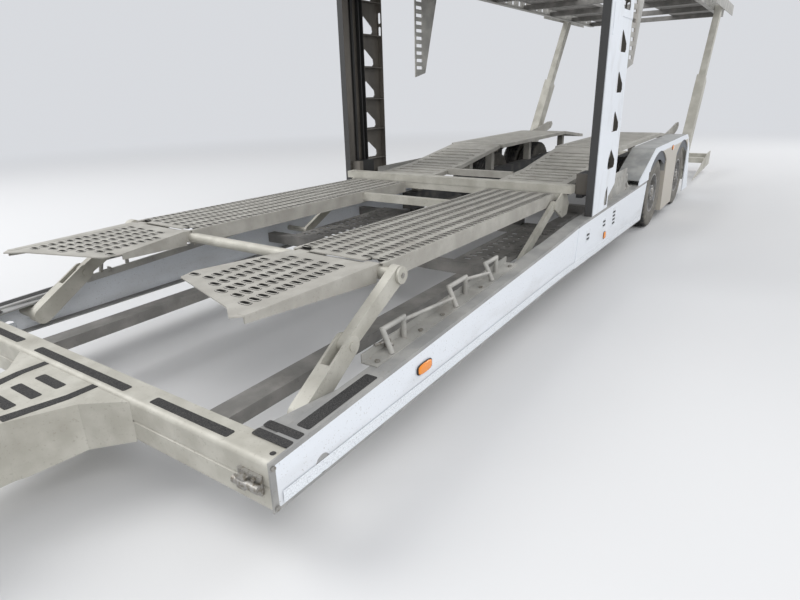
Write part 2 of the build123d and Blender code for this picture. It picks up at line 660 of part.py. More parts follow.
def mast_drive():
    """Gearbox, lifting screw and guide bar in the mast's slot, with the carriage and deck pin."""
    y_in, y_skin = HALF_WIDTH - MAST_DEPTH, FACE_Y - MAST_PLATE
    slot_x = MAST_FRONT_X - MAST_STRIP
    y_mid = (y_in + y_skin) / 2
    gearbox = block((MAST_FRONT_X - GEARBOX_LENGTH[0], MAST_FRONT_X - GEARBOX_LENGTH[1]),
                    (y_in - GEARBOX_DEPTH, y_in), GEARBOX_Z)
    half_height = (MAST_TOP - GEARBOX_Z[0]) / 2
    screw = Pos(MAST_FRONT_X - SCREW_BEHIND, y_mid, GEARBOX_Z[0] + half_height) * Cylinder(SCREW_R, 2 * half_height)
    guide = block((MAST_FRONT_X - GUIDE_BEHIND, MAST_FRONT_X - GUIDE_BEHIND - SCREW_R),
                  (y_mid - SCREW_R, y_mid + SCREW_R), (0, MAST_TOP))
    bottom = block((slot_x, slot_x - MAST_SLOT), (y_in, y_skin), (GEARBOX_Z[0], GEARBOX_Z[0] + MAST_PLATE))
    carriage = block((slot_x - SWING_GAP, slot_x - MAST_SLOT + SWING_GAP), (y_in - CARRIAGE_PROUD, y_skin),
                     (DECK_PIVOT_Z - CARRIAGE_HALF, DECK_PIVOT_Z + CARRIAGE_HALF))
    pin = cross_rod(DECK_PIVOT_X, DECK_PIVOT_Z, DECK_PIVOT_R, DECK_BEAM_OUTER_Y - DECK_BEAM_WIDTH + 20, y_in)
    return gearbox + [screw, guide, bottom, carriage, pin]


def platform_track():
    """Left platform track: a folded channel with rows of slots and an ear for the rear pivot."""
    y_ends = (TRACK_INNER_Y, TRACK_OUTER_Y)
    row_step = (TRACK_OUTER_Y - TRACK_INNER_Y - 2 * SLOT_EDGE) / (SLOT_ROWS - 1)
    rows = [TRACK_INNER_Y + SLOT_EDGE + index * row_step for index in range(SLOT_ROWS)]
    places = grid(PLATFORM_FRONT_X - 60, PLATFORM_REAR_X + 40, rows, SLOT_PITCH)
    outline = [(PLATFORM_FRONT_X, y_ends[0]), (PLATFORM_FRONT_X, y_ends[1]),
               (PLATFORM_REAR_X, y_ends[1]), (PLATFORM_REAR_X, y_ends[0])]
    slots = [rectangle(x, y, SLOT_LENGTH, SLOT_WIDTH) for x, y in places]
    track = xy_plate(outline, PLATFORM_TOP - TRACK_SHEET, PLATFORM_TOP, slots)
    low = PLATFORM_TOP - TRACK_FLANGE
    for y_low, y_high in ((y_ends[0], y_ends[0] + TRACK_SIDE), (y_ends[1] - TRACK_SIDE, y_ends[1])):
        track += block((PLATFORM_FRONT_X, PLATFORM_REAR_X), (y_low, y_high), (low, PLATFORM_TOP - TRACK_SHEET))
    ear = [(PIVOT_X + 70, low + 30), (PIVOT_X - 70, low + 30), (PIVOT_X - 36, low - EAR_DROP),
           (PIVOT_X + 36, low - EAR_DROP)]
    track += xz_plate(ear, TRACK_OUTER_Y - 2 * TRACK_SIDE, TRACK_OUTER_Y)
    notch_x = FRONT_TUBE_X - FLAP_RING_R - SWING_GAP
    track -= [block((notch_x, PLATFORM_FRONT_X), (y_low - SWING_GAP, y_high + SWING_GAP), (0, PLATFORM_TOP))
              for y_low, y_high in KNUCKLES]
    track = sloped(track)
    track -= cross_rod(PIVOT_X, PIVOT_Z, PIVOT_PIN_R + RUNNING_GAP, TRACK_OUTER_Y - 3 * TRACK_SIDE, TRACK_OUTER_Y)
    return track - cross_rod(FRONT_TUBE_X, FRONT_TUBE_Z, FRONT_TUBE_R + RUNNING_GAP, *y_ends)


def sloped(shape):
    """Turn a level piece of the platform about its front tube, so that it falls to the rear."""
    axis = Pos(FRONT_TUBE_X, 0, FRONT_TUBE_Z)
    return axis * Rot(0, -PLATFORM_SLOPE, 0) * axis.inverse() * shape


def platform_tubes():
    """Round front tube with end caps, and a square tube between the two tracks."""
    reach = ARM_Y + ARM_THICK / 2 + TUBE_CAP + 2
    front = cross_rod(FRONT_TUBE_X, FRONT_TUBE_Z, FRONT_TUBE_R, -reach, reach)
    for y_low, y_high in ((reach - TUBE_CAP, reach), (-reach, -reach + TUBE_CAP)):
        front += cross_rod(FRONT_TUBE_X, FRONT_TUBE_Z, FRONT_TUBE_R + TUBE_CAP_RISE, y_low, y_high)
    mid_top = PLATFORM_TOP - MID_TUBE_DROP
    mid = block((MID_TUBE_X - MID_TUBE / 2, MID_TUBE_X + MID_TUBE / 2),
                (-TRACK_INNER_Y, TRACK_INNER_Y), (mid_top - MID_TUBE, mid_top))
    return Compound(children=[front, sloped(mid)])


def flap():
    """Left flap: a slotted plate that narrows to its tip, hinged round the platform's front tube."""
    (x_back, y_in), (_, y_out), outer_tip = FLAP_OUTLINE[:3]
    low = PLATFORM_TOP - TRACK_SHEET
    row_step = (TRACK_OUTER_Y - TRACK_INNER_Y - 2 * SLOT_EDGE) / (SLOT_ROWS - 1)
    rows = [y_out - SLOT_EDGE - index * row_step for index in range(SLOT_ROWS + 1)]
    slots = [rectangle(x, y, SLOT_LENGTH, SLOT_WIDTH)
             for x, y in grid(outer_tip[0], x_back + 60, rows, SLOT_PITCH) if on_flap(x, y)]
    body = xy_plate(FLAP_OUTLINE, low, PLATFORM_TOP, slots)
    body += flap_edge((x_back, y_out), outer_tip, -TRACK_SIDE)
    body += flap_edge((x_back, y_in), FLAP_OUTLINE[-1], TRACK_SIDE)
    ring_r = FRONT_TUBE_R + RUNNING_GAP
    body -= cross_rod(FRONT_TUBE_X, FRONT_TUBE_Z, ring_r + TRACK_SIDE, 0, HALF_WIDTH)
    for y_low, y_high in KNUCKLES:
        knuckle = cross_rod(FRONT_TUBE_X, FRONT_TUBE_Z, FLAP_RING_R, y_low, y_high)
        knuckle += block((FRONT_TUBE_X, x_back + 30), (y_low, y_high), (FRONT_TUBE_Z - 20, low))
        body += knuckle - cross_rod(FRONT_TUBE_X, FRONT_TUBE_Z, ring_r, 0, HALF_WIDTH)
    return body


def on_flap(x, y):
    """Whether a slot about (x, y) lies well inside the flap's plan."""
    root, front_in, front_out = FLAP_OUTLINE[0], FLAP_OUTLINE[5], FLAP_OUTLINE[4]
    tip_in = FLAP_OUTLINE[6]
    front = front_in[0] + (y - front_in[1]) * (front_out[0] - front_in[0]) / (front_out[1] - front_in[1])
    side = root[1] + (x - root[0]) * (tip_in[1] - root[1]) / (tip_in[0] - root[0])
    return x + SLOT_LENGTH + 25 < front and y - SLOT_WIDTH > side


def flap_edge(root, tip, inwards):
    """Skirt below one long edge of the flap, deep at the hinge and shallow at the tip."""
    low = PLATFORM_TOP - TRACK_SHEET
    side = [(root[0], low), (tip[0], low), (tip[0], PLATFORM_TOP - FLAP_TIP_DEPTH),
            (root[0], PLATFORM_TOP - TRACK_FLANGE)]
    plan = [root, tip, (tip[0], tip[1] + inwards), (root[0], root[1] + inwards)]
    y_low, y_high = min(y for _, y in plan), max(y for _, y in plan)
    return xz_plate(side, y_low, y_high) & xy_plate(plan, 0, PLATFORM_TOP)


def upper_arm():
    """Left upper arm: hangs on the end of the front tube; its tongue lies between the knee ears."""
    top = (FRONT_TUBE_X, FRONT_TUBE_Z)
    y_low, y_high = ARM_Y - ARM_THICK / 2, ARM_Y + ARM_THICK / 2
    arm = link(top, KNEE, *UPPER_ARM_R, y_low, y_high)
    arm -= cross_rod(*top, FRONT_TUBE_R + RUNNING_GAP, y_low, y_high)
    return arm - cross_rod(*KNEE, BASE_PIN_R, y_low, y_high)


def lower_arm():
    """Left lower arm: a box that ends in two ears round the upper arm's end, with the knee pin."""
    y_low, y_high = ARM_Y - ARM_THICK / 2, ARM_Y + ARM_THICK / 2
    y_inner, y_outer = y_low - KNEE_EAR_THICK, y_high + KNEE_EAR_THICK
    reach = hypot(LOWER_BASE[0] - KNEE[0], LOWER_BASE[1] - KNEE[1])
    web = xz_plate([along(KNEE, LOWER_BASE, KNEE_WEB_START, KNEE_EAR_R),
                    along(KNEE, LOWER_BASE, reach, LOWER_BASE_R),
                    along(KNEE, LOWER_BASE, reach, -LOWER_BASE_R),
                    along(KNEE, LOWER_BASE, KNEE_WEB_START, -KNEE_EAR_R)], y_inner, y_outer)
    arm = web + [
        link(KNEE, LOWER_BASE, KNEE_EAR_R, LOWER_BASE_R, y_inner, y_low - 1),
        link(KNEE, LOWER_BASE, KNEE_EAR_R, LOWER_BASE_R, y_high + 1, y_outer),
        cross_rod(*LOWER_BASE, LOWER_BASE_R, y_inner, y_outer),
        cross_rod(*KNEE, BASE_PIN_R, y_outer, y_outer + KNEE_PIN_OUT),
        cross_rod(*KNEE, BASE_PIN_R, y_inner - 2 * KNEE_PIN_OUT, y_inner),
    ]
    return arm - cross_rod(*LOWER_BASE, BASE_PIN_R + RUNNING_GAP, 0, HALF_WIDTH)


def rear_stay():
    """Left rear stay: flat bar from the side beam up to the platform's pivot, with both pins."""
    stay = link(STAY_BASE, (PIVOT_X, PIVOT_Z), STAY_R, STAY_R, STAY_Y_LOW, STAY_Y_HIGH)
    stay += cross_rod(PIVOT_X, PIVOT_Z, PIVOT_PIN_R, TRACK_OUTER_Y - 4 * TRACK_SIDE, STAY_Y_LOW)
    return stay + cross_rod(*STAY_BASE, BASE_PIN_R, STAY_Y_HIGH, INNER_Y)


def base_pin():
    """Left pin with a collar, welded to the side beam, that carries the lower arm."""
    pin = cross_rod(*LOWER_BASE, BASE_PIN_R, ARM_Y - ARM_THICK / 2 - KNEE_EAR_THICK, INNER_Y)
    collar_start = ARM_Y + ARM_THICK / 2 + KNEE_EAR_THICK + RUNNING_GAP
    return pin + cross_rod(*LOWER_BASE, BASE_PIN_R + 16, collar_start, INNER_Y)


def hinge_bracket():
    """Left bracket: a plate from the pivot pin back and up to the rear tube, with a hole."""
    z_tube = REAR_TUBE_TOP - REAR_TUBE_DEPTH
    rear_x = REAR_TUBE_FRONT_X - REAR_TUBE_LENGTH
    points = [(PIVOT_X + 30, PIVOT_Z + 16), (PIVOT_X + 30, PIVOT_Z - 26), (PIVOT_X - 150, PIVOT_Z - 123),
              (rear_x - 51, PIVOT_Z - 113), (rear_x - 83, PIVOT_Z - 30), (rear_x, z_tube),
              (REAR_TUBE_FRONT_X, z_tube)]
    return xz_plate(points, STAY_Y_HIGH, STAY_Y_HIGH + 14) - cross_rod(*BRACKET_HOLE, 16, STAY_Y_HIGH, HALF_WIDTH)


def rear_tube():
    """Wide flat tube across the front of the middle tracks, a tube below it, and two brackets."""
    low = REAR_TUBE_TOP - REAR_TUBE_DEPTH
    tube = block((REAR_TUBE_FRONT_X, REAR_TUBE_FRONT_X - REAR_TUBE_LENGTH),
                 (-REAR_TUBE_HALF, REAR_TUBE_HALF), (low, REAR_TUBE_TOP))
    tube += block((REAR_TUBE_FRONT_X - 4, REAR_TUBE_FRONT_X - LOWER_TUBE), (-STAY_Y_HIGH, STAY_Y_HIGH),
                  (low - LOWER_TUBE, low))
    return tube + [hinge_bracket(), mirrored(hinge_bracket())]


def slatted_deck(line, thick, y_ends, slot, pitch):
    """Deck strip that follows a line of (x, z) points and is cut into slats across its width."""
    deck = xz_plate(strip(line, 0, thick), *y_ends)
    x_start, x_end = line[0][0], line[-1][0]
    y_cut = (y_ends[0] + SLAT_MARGIN, y_ends[1] - SLAT_MARGIN)
    cutters = []
    for index in range(int((x_start - x_end - 2 * pitch) // pitch)):
        x = x_start - 1.5 * pitch - index * pitch
        z = line_z(line, x)
        cutters.append(block((x - slot / 2, x + slot / 2), y_cut, (z - 2 * thick, z + thick)))
    return deck - cutters


def deck_stand(line, x):
    """Stand from the spine beam up into a deck's underside."""
    return block((x - STAND / 2, x + STAND / 2), (SPINE_Y - STAND / 2, SPINE_Y + STAND / 2),
                 (SPINE_TOP, min(line_z(line, x + STAND / 2), line_z(line, x - STAND / 2)) - DECKING / 2))


def middle_tracks():
    """Two ribbed tracks that climb from the rear tube to the wheels' deck, with a tube between."""
    track = slatted_deck(MIDDLE_TRACK_LINE, DECKING, MIDDLE_TRACK_Y, SLAT_SLOT, SLAT_PITCH)
    track += [deck_stand(MIDDLE_TRACK_LINE, x) for x in MIDDLE_TRACK_STANDS]
    x_front, z_front = MIDDLE_TRACK_LINE[0]
    track += block((REAR_TUBE_FRONT_X - REAR_TUBE_LENGTH, x_front - 10), (SPINE_Y - STAND / 2, SPINE_Y + STAND / 2),
                   (z_front - DECKING + 2, REAR_TUBE_TOP - 20))
    z_top = line_z(MIDDLE_TRACK_LINE, MIDDLE_TUBE_X) + MIDDLE_TUBE_RISE
    tube = block((MIDDLE_TUBE_X - MIDDLE_TUBE / 2, MIDDLE_TUBE_X + MIDDLE_TUBE / 2),
                 (-MIDDLE_TRACK_Y[0], MIDDLE_TRACK_Y[0]), (z_top - MIDDLE_TUBE, z_top))
    return Compound(children=[track, mirrored(track), tube])


def axle_deck():
    """Two ribbed decks over the wheels on stands, sloping down at the rear, with lugs for ramps."""
    deck = slatted_deck(AXLE_DECK_LINE, DECKING, (AXLE_DECK_INNER_Y, AXLE_DECK_OUTER_Y), SLAT_SLOT, SLAT_PITCH)
    deck += [deck_stand(AXLE_DECK_LINE, x) for x in AXLE_DECK_STANDS]
    lug_y = (AXLE_DECK_OUTER_Y - DECK_LUG_THICK, AXLE_DECK_OUTER_Y)
    deck += xz_plate(DECK_LUG, *lug_y) - cross_rod(*DECK_LUG_HOLE, *lug_y)
    return Compound(children=[deck, mirrored(deck)])


def axle(name):
    """Round axle with stub ends, trailing arms that hang from the spine, and spring seats."""
    x = AXLE_X[name]
    inner_face = TYRE_OUTER_Y - TYRE_WIDTH - TWIN_PITCH
    body = cross_rod(x, TYRE_R, AXLE_TUBE_R, 60 - inner_face, inner_face - 60)
    body += cross_rod(x, TYRE_R, STUB_R, 40 - TYRE_OUTER_Y, TYRE_OUTER_Y - 40)
    arm = block((x - SPRING_BEHIND - SPRING_R, x + HANGER_AHEAD + 50),
                (SPINE_Y - ARM_WIDTH / 2, SPINE_Y + ARM_WIDTH / 2),
                (TYRE_R - ARM_DEPTH / 2, TYRE_R + ARM_DEPTH / 2))
    drum = cross_rod(x, TYRE_R, DRUM_R, inner_face - 62, inner_face - 50)
    return body + [arm, drum, mirrored(arm), mirrored(drum)]


def air_springs():
    """Rubber bellows between the trailing arms and the spine, one behind each axle end."""
    z_low = TYRE_R + ARM_DEPTH / 2
    height = SPINE_BOTTOM - z_low
    waist = [(0, 0), (SPRING_R * 0.7, 0), (SPRING_R, height * 0.28), (SPRING_R * 0.8, height * 0.5),
             (SPRING_R, height * 0.72), (SPRING_R * 0.7, height), (0, height)]
    body = revolve(Plane.XZ * Polygon(*waist, align=None), Axis.Z)
    return Compound(children=[Pos(x - SPRING_BEHIND, side * SPINE_Y, z_low) * body
                              for x in AXLE_X.values() for side in (1, -1)])


def twin_tyres(name, side):
    """A pair of road tyres side by side, each lofted through many-sided sections."""
    half = TYRE_WIDTH / 2
    shoulder = [(16 - half, RIM_R + 10), (-half, RIM_R + 75), (5 - half, TYRE_R - 32), (24 - half, TYRE_R)]
    stations = shoulder + [(-y, r) for y, r in reversed(shoulder)]
    tyres = []
    for index in (0, 1):
        y_mid = side * (TYRE_OUTER_Y - half - TWIN_PITCH * index)
        sections = [wheel_plane(name, y_mid + y) * RegularPolygon(r, TYRE_SIDES) for y, r in stations]
        bore = wheel_plane(name, y_mid - half) * RegularPolygon(RIM_R, TYRE_SIDES, major_radius=False)
        tyres.append(loft(sections, ruled=True) - extrude(bore, amount=TYRE_WIDTH))
    return Compound(children=tyres)


def wheel_plane(name, y):
    """Plane across an axle's line at a distance from the trailer's middle."""
    return Plane(origin=(AXLE_X[name], y, TYRE_R), x_dir=(0, 0, -1), z_dir=(0, 1, 0))


def turned(profile, name):
    """Turn a profile of (y, radius) points round the line of an axle."""
    face = Plane.XY * Polygon(*[(r, y) for y, r in profile], align=None)
    return Pos(AXLE_X[name], 0, TYRE_R) * revolve(face, Axis.Y)


def twin_rims(name, side):
    """Both steel rims of one axle end with their dished discs and the hub, as one turned piece."""
    half = TYRE_WIDTH / 2 - 14
    outer_mid = TYRE_OUTER_Y - TYRE_WIDTH / 2
    face_y = outer_mid - TWIN_PITCH / 2
    seat = RIM_R - RUNNING_GAP
    lip = seat - RIM_WALL
    reach = outer_mid - half - face_y
    hub_in, hub_out = outer_mid - TWIN_PITCH - half + 30, TYRE_OUTER_Y - 18
    profiles = [[(hub_in, HUB_R), (hub_out, HUB_R), (hub_out, 0), (hub_out - 20, 0),
                 (hub_out - 20, STUB_R + RUNNING_GAP), (hub_in, STUB_R + RUNNING_GAP)]]
    for away in (1, -1):
        mid = face_y + away * TWIN_PITCH / 2
        profiles.append([(mid - half, seat), (mid + half, seat), (mid + half, lip), (mid - half, lip)])
        profiles.append([(face_y, HUB_R - 4), (face_y, DRUM_R), (face_y + away * (reach + 8), lip + 2),
                         (face_y + away * (reach + 26), lip + 2), (face_y + away * DISC_THICK, DRUM_R - 14),
                         (face_y + away * DISC_THICK, HUB_R - 4)])
    rings = [turned([(side * y, r) for y, r in profile], name) for profile in profiles]
    return rings[0] + rings[1:]


def deck_beam():
    """Left side channel of the upper deck, with square holes and the painted rear end plate."""
    z0, z1 = DECK_BOTTOM, DECK_BOTTOM + DECK_BEAM_DEPTH
    y1 = DECK_BEAM_OUTER_Y
    y0 = y1 - DECK_BEAM_WIDTH
    z_mid = (z0 + z1) / 2
    count = int((DECK_FRONT_X - DECK_REAR_X - 200) // DECK_HOLE_PITCH)
    stations = [DECK_FRONT_X - 160 - index * DECK_HOLE_PITCH for index in range(count)]
    holes = [rectangle(x, z_mid, DECK_HOLE, DECK_HOLE) for x in stations
             if abs(x - DECK_PIVOT_X) > 150 and abs(x - POST_EYE[0]) > 150]
    outline = [(DECK_FRONT_X, z0), (DECK_FRONT_X, z1), (DECK_REAR_X, z1), (DECK_REAR_X, z0)]
    beam = xz_plate(outline, y1 - DECK_BEAM_WALL, y1, holes)
    beam += [block((DECK_REAR_X, DECK_FRONT_X), (y0, y1), (z, z + DECK_BEAM_WALL))
             for z in (z0, z1 - DECK_BEAM_WALL)]
    y_plate = HALF_WIDTH - END_PLATE_THICK
    beam += block((END_PLATE_X, DECK_REAR_X), (y_plate, HALF_WIDTH), (z0 + 4, z1))
    beam += [block((x, x + END_BRACKET), (y1, y_plate), (z1 - END_BRACKET, z1))
             for x in (DECK_REAR_X, END_PLATE_X - END_BRACKET)]
    beam += cross_rod(*POST_EYE, POST_EYE_R, y1, POST_Y - POST_INNER[1] / 2 - RUNNING_GAP)
    beam += deck_hanger(y1)
    return beam - cross_rod(DECK_PIVOT_X, DECK_PIVOT_Z, DECK_PIVOT_R + RUNNING_GAP, y1 - 40, y1 + 40)


def deck_hanger(y):
    """Slotted plate that hangs from the side channel behind the mast."""
    z_low, z_high, pitch = HANGER_RUNGS
    length, height = HANGER_SLOT
    slots = []
    for step in range(int((z_high - z_low) // pitch) + 1):
        z = z_low + step * pitch
        slots.append(rectangle(HANGER[0][0] - 25 - length / 2, z, length, height))
    return xz_plate(HANGER, y, y + HANGER_THICK, slots)


def deck_cross_tubes():
    """Square tubes between the side channels of the upper deck."""
    inner = DECK_BEAM_OUTER_Y - DECK_BEAM_WALL
    low = DECK_BOTTOM + DECK_BEAM_WALL
    tubes = [block((x - DECK_CROSS / 2, x + DECK_CROSS / 2), (-inner, inner), (low, low + DECK_CROSS))
             for x in DECK_CROSS_X]
    return Compound(children=tubes)


def deck_tracks():
    """Two ribbed wheel tracks that lie on the cross tubes of the upper deck."""
    z_top = DECK_BOTTOM + DECK_BEAM_WALL + DECK_CROSS + DECK_TRACK_THICK
    line = [(DECK_FRONT_X, z_top), (DECK_REAR_X, z_top)]
    track = slatted_deck(line, DECK_TRACK_THICK, DECK_TRACK_Y, SLAT_SLOT, DECK_TRACK_PITCH)
    return Compound(children=[track, mirrored(track)])


def post_outer():
    """Left post, lower tube: a lug on the rear crossmember's pin, and a head that guides the upper tube."""
    foot_end = POST_FOOT_R + 12
    inside = (POST_OUTER[0] - 2 * POST_WALL, POST_OUTER[1] - 2 * POST_WALL)
    window = (POST_INNER[0] + 2 * RUNNING_GAP, POST_INNER[1] + 2 * RUNNING_GAP)
    head_start = POST_OUTER_LENGTH - POST_HEAD
    tube = tube_between(POST_BASE, POST_EYE, foot_end + POST_HEAD, head_start, POST_OUTER, POST_Y, inside)
    tube += tube_between(POST_BASE, POST_EYE, foot_end, foot_end + POST_HEAD, POST_OUTER, POST_Y)
    tube += tube_between(POST_BASE, POST_EYE, head_start, POST_OUTER_LENGTH, POST_OUTER, POST_Y, window)
    y_low, y_high = POST_Y - POST_OUTER[1] / 2, POST_Y + POST_OUTER[1] / 2
    foot = link(POST_BASE, along(POST_BASE, POST_EYE, foot_end), POST_FOOT_R, POST_FOOT_R, y_low, y_high)
    foot -= tube_between(POST_BASE, POST_EYE, foot_end + POST_HEAD, 2 * foot_end + POST_HEAD, POST_OUTER, POST_Y)
    return tube + foot - cross_rod(*POST_BASE, POST_PIN_R + RUNNING_GAP, y_low, y_high)


def post_inner():
    """Left post, upper tube: slides out of the lower one and ends in an eye below the deck."""
    length = hypot(POST_EYE[0] - POST_BASE[0], POST_EYE[1] - POST_BASE[1])
    start = POST_OUTER_LENGTH - POST_OVERLAP
    inside = (POST_INNER[0] - 2 * POST_WALL, POST_INNER[1] - 2 * POST_WALL)
    tube = tube_between(POST_BASE, POST_EYE, start, length - 20, POST_INNER, POST_Y, inside)
    y_low, y_high = POST_Y - POST_INNER[1] / 2, POST_Y + POST_INNER[1] / 2
    eye = link(along(POST_BASE, POST_EYE, length - 60), POST_EYE, POST_INNER[0] / 2, POST_EYE_R, y_low, y_high)
    return tube + (eye - cross_rod(*POST_EYE, POST_PIN_R, y_low, y_high))


def tail_frame():
    """Rear guard on two sliding tubes: wedge side plates and two cross bars."""
    rear_x = TAIL_REAR_X + LAMP_DEPTH
    wedge = [(TAIL_FRONT_X, TAIL_BOTTOM), (rear_x, TAIL_BOTTOM + 60), (rear_x, TAIL_TOP),
             (rear_x + 330, TAIL_TOP)]
    inner = TAIL_HALF - TAIL_PLATE
    plate = xz_plate(wedge, inner, TAIL_HALF)
    frame = plate + mirrored(plate)
    for x_low in (rear_x, rear_x + TAIL_BAR_SPACING):
        frame += block((x_low, x_low + TAIL_BAR), (-inner, inner),
                       (TAIL_TUBE_Z - TAIL_BAR / 2, TAIL_TUBE_Z + TAIL_BAR / 2))
    half = TAIL_TUBE / 2
    for y in (TAIL_TUBE_Y, -TAIL_TUBE_Y):
        frame += block((rear_x + TAIL_BAR / 2, CHASSIS_REAR_X + TAIL_SLEEVE - 20), (y - half, y + half),
                       (TAIL_TUBE_Z - half, TAIL_TUBE_Z + half))
    return frame


def tail_lamps():
    """Lamp clusters on the rear face of the guard."""
    lamp = block((TAIL_REAR_X, TAIL_REAR_X + LAMP_DEPTH), LAMP_Y, (TAIL_TUBE_Z - 42, TAIL_TUBE_Z + 42))
    return Compound(children=[lamp, mirrored(lamp)])


def rail_rack():
    """Left racks on the side beam: angle plates with loops of bent rod, and a slotted upright plate."""
    pieces = [ladder_plate()]
    for x_front, x_rear, loops in RACKS:
        line = line_part(BEAM_TOP, x_front, x_rear)
        plate = xz_plate(strip(line, -RACK_PLATE, RACK_PLATE), RACK_Y_LOW, RACK_Y_HIGH)
        plate += xz_plate(strip(line, -RACK_LIP, RACK_LIP), RACK_Y_LOW, RACK_Y_LOW + RACK_PLATE)
        for x, width, height in loops:
            plate += rack_loop(x, width, height)
        pieces.append(plate)
    return Compound(children=pieces)


def ladder_plate():
    """Upright plate with a row of slots that stands on the side beam behind the mast."""
    x_front, x_rear = LADDER_X
    feet = line_part(BEAM_TOP, x_front, x_rear)
    z_slot = LADDER_TOP - LADDER_SLOT[1]
    count = int((x_front - x_rear - LADDER_PITCH) // LADDER_PITCH)
    slots = [rectangle(x_front - LADDER_PITCH - step * LADDER_PITCH, z_slot, *LADDER_SLOT) for step in range(count)]
    plate = xz_plate([(x_front, LADDER_TOP), (x_rear, LADDER_TOP), *feet[::-1]], LADDER_Y, LADDER_Y + LADDER_THICK, slots)
    foot = xz_plate(strip(feet, -RACK_PLATE, RACK_PLATE), LADDER_Y - 40, LADDER_Y)
    return plate + foot


def rack_loop(x, width, height):
    """Rod that rises from a rack's inner edge, runs back, and slants out and down to its outer edge."""
    y_back, y_front = RACK_Y_LOW + 2 * LOOP_ROD_R, RACK_Y_HIGH - LOOP_ROD_R
    x_rear, x_front = x - width / 2, x + width / 2
    z_rear, z_front = line_z(BEAM_TOP, x_rear) + RACK_PLATE / 2, line_z(BEAM_TOP, x_front) + RACK_PLATE
    z_top = line_z(BEAM_TOP, x) + height
    path = Polyline((x_rear, y_back, z_rear), (x_rear, y_back, z_top), (x_front, y_back, z_top),
                    (x_front, y_front, z_front))
    section = Plane(origin=path @ 0, z_dir=(0, 0, 1)) * RegularPolygon(LOOP_ROD_R, 12)
    return sweep(section, path, transition=Transition.RIGHT)


def marker_lamps():
    """Amber side lamps on the painted webs and panels."""
    lamps = []
    for x, z, half_length, half_height in MARKERS:
        seat = FACE_Y if x > COVER_FRONT_X else HALF_WIDTH
        lamp = block((x - half_length, x + half_length), (seat, HALF_WIDTH + MARKER_PROUD),
                     (z - half_height, z + half_height))
        lamps += [lamp, mirrored(lamp)]
    return Compound(children=lamps)


def pair(make):
    """The left and right piece of a kind as the solids of one node."""
    piece = make()
    return Compound(children=[*piece.solids(), *mirrored(piece).solids()])


def build_nodes():
    """Every piece by its node name."""
    nodes = {
        "front_crossmember": front_crossmember(),
        "drawbar": drawbar(),
        "towing_eye": towing_eye(),
        "parking_jack": parking_jack(),
        "low_frame": low_frame(),
        "spine_beams": spine_beams(),
        "rear_crossmember": rear_crossmember(),
        "rear_tube": rear_tube(),
        "middle_tracks": middle_tracks(),
        "axle_deck": axle_deck(),
        "air_springs": air_springs(),
        "arm_supports": Compound(children=[*pair(rear_stay).children, *pair(base_pin).children]),
        "rail_racks": pair(rail_rack),
        "marker_lamps": marker_lamps(),
        "platform_tubes": platform_tubes(),
        "upper_arms": pair(upper_arm),
        "lower_arms": pair(lower_arm),
        "upper_deck_beams": pair(deck_beam),
        "upper_deck_cross_tubes": deck_cross_tubes(),
        "upper_deck_tracks": deck_tracks(),
        "post_outers": pair(post_outer),
        "post_inners": pair(post_inner),
        "tail_frame": tail_frame(),
        "tail_lamps": tail_lamps(),
    }
    handed = {
        "side_beam": side_beam, "side_panel": side_panel, "mast": mast,
        "platform_track": platform_track, "flap": flap,
    }
    for name, make in handed.items():
        piece = make()
        nodes[name + "_left"] = piece
        nodes[name + "_right"] = mirrored(piece)
    for name in AXLE_X:
        nodes["axle_" + name] = axle(name)
        for hand, side in (("left", 1), ("right", -1)):
            nodes[f"tyres_{name}_{hand}"] = twin_tyres(name, side)
            nodes[f"rims_{name}_{hand}"] = twin_rims(name, side)
    return nodes


os.makedirs("parts", exist_ok=True)
for node_name, node_shape in build_nodes().items():
    export_step(place(node_shape), f"parts/{node_name}.step")
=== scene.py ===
from math import cos, pi, radians, sin

import bpy
import numpy as np
from mathutils import Matrix, Vector


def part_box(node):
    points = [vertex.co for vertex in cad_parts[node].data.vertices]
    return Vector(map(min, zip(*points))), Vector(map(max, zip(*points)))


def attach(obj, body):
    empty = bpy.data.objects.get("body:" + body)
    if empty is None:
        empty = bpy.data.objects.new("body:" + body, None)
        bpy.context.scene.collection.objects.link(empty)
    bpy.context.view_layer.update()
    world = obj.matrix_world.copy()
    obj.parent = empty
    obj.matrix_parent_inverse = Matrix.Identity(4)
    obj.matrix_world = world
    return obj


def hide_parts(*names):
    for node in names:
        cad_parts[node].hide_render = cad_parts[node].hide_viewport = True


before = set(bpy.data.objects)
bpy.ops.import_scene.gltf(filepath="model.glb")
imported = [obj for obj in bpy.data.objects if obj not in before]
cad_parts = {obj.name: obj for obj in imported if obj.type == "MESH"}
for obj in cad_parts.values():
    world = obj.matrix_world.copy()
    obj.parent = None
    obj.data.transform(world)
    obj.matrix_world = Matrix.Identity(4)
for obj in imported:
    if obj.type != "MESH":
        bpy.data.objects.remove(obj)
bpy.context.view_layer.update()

# Lengths are metres. X points forward, Y to the left, Z up, and the ground is Z = 0.
# A station is a length along the trailer from the front face of the front crossmember,
# negative towards the rear.

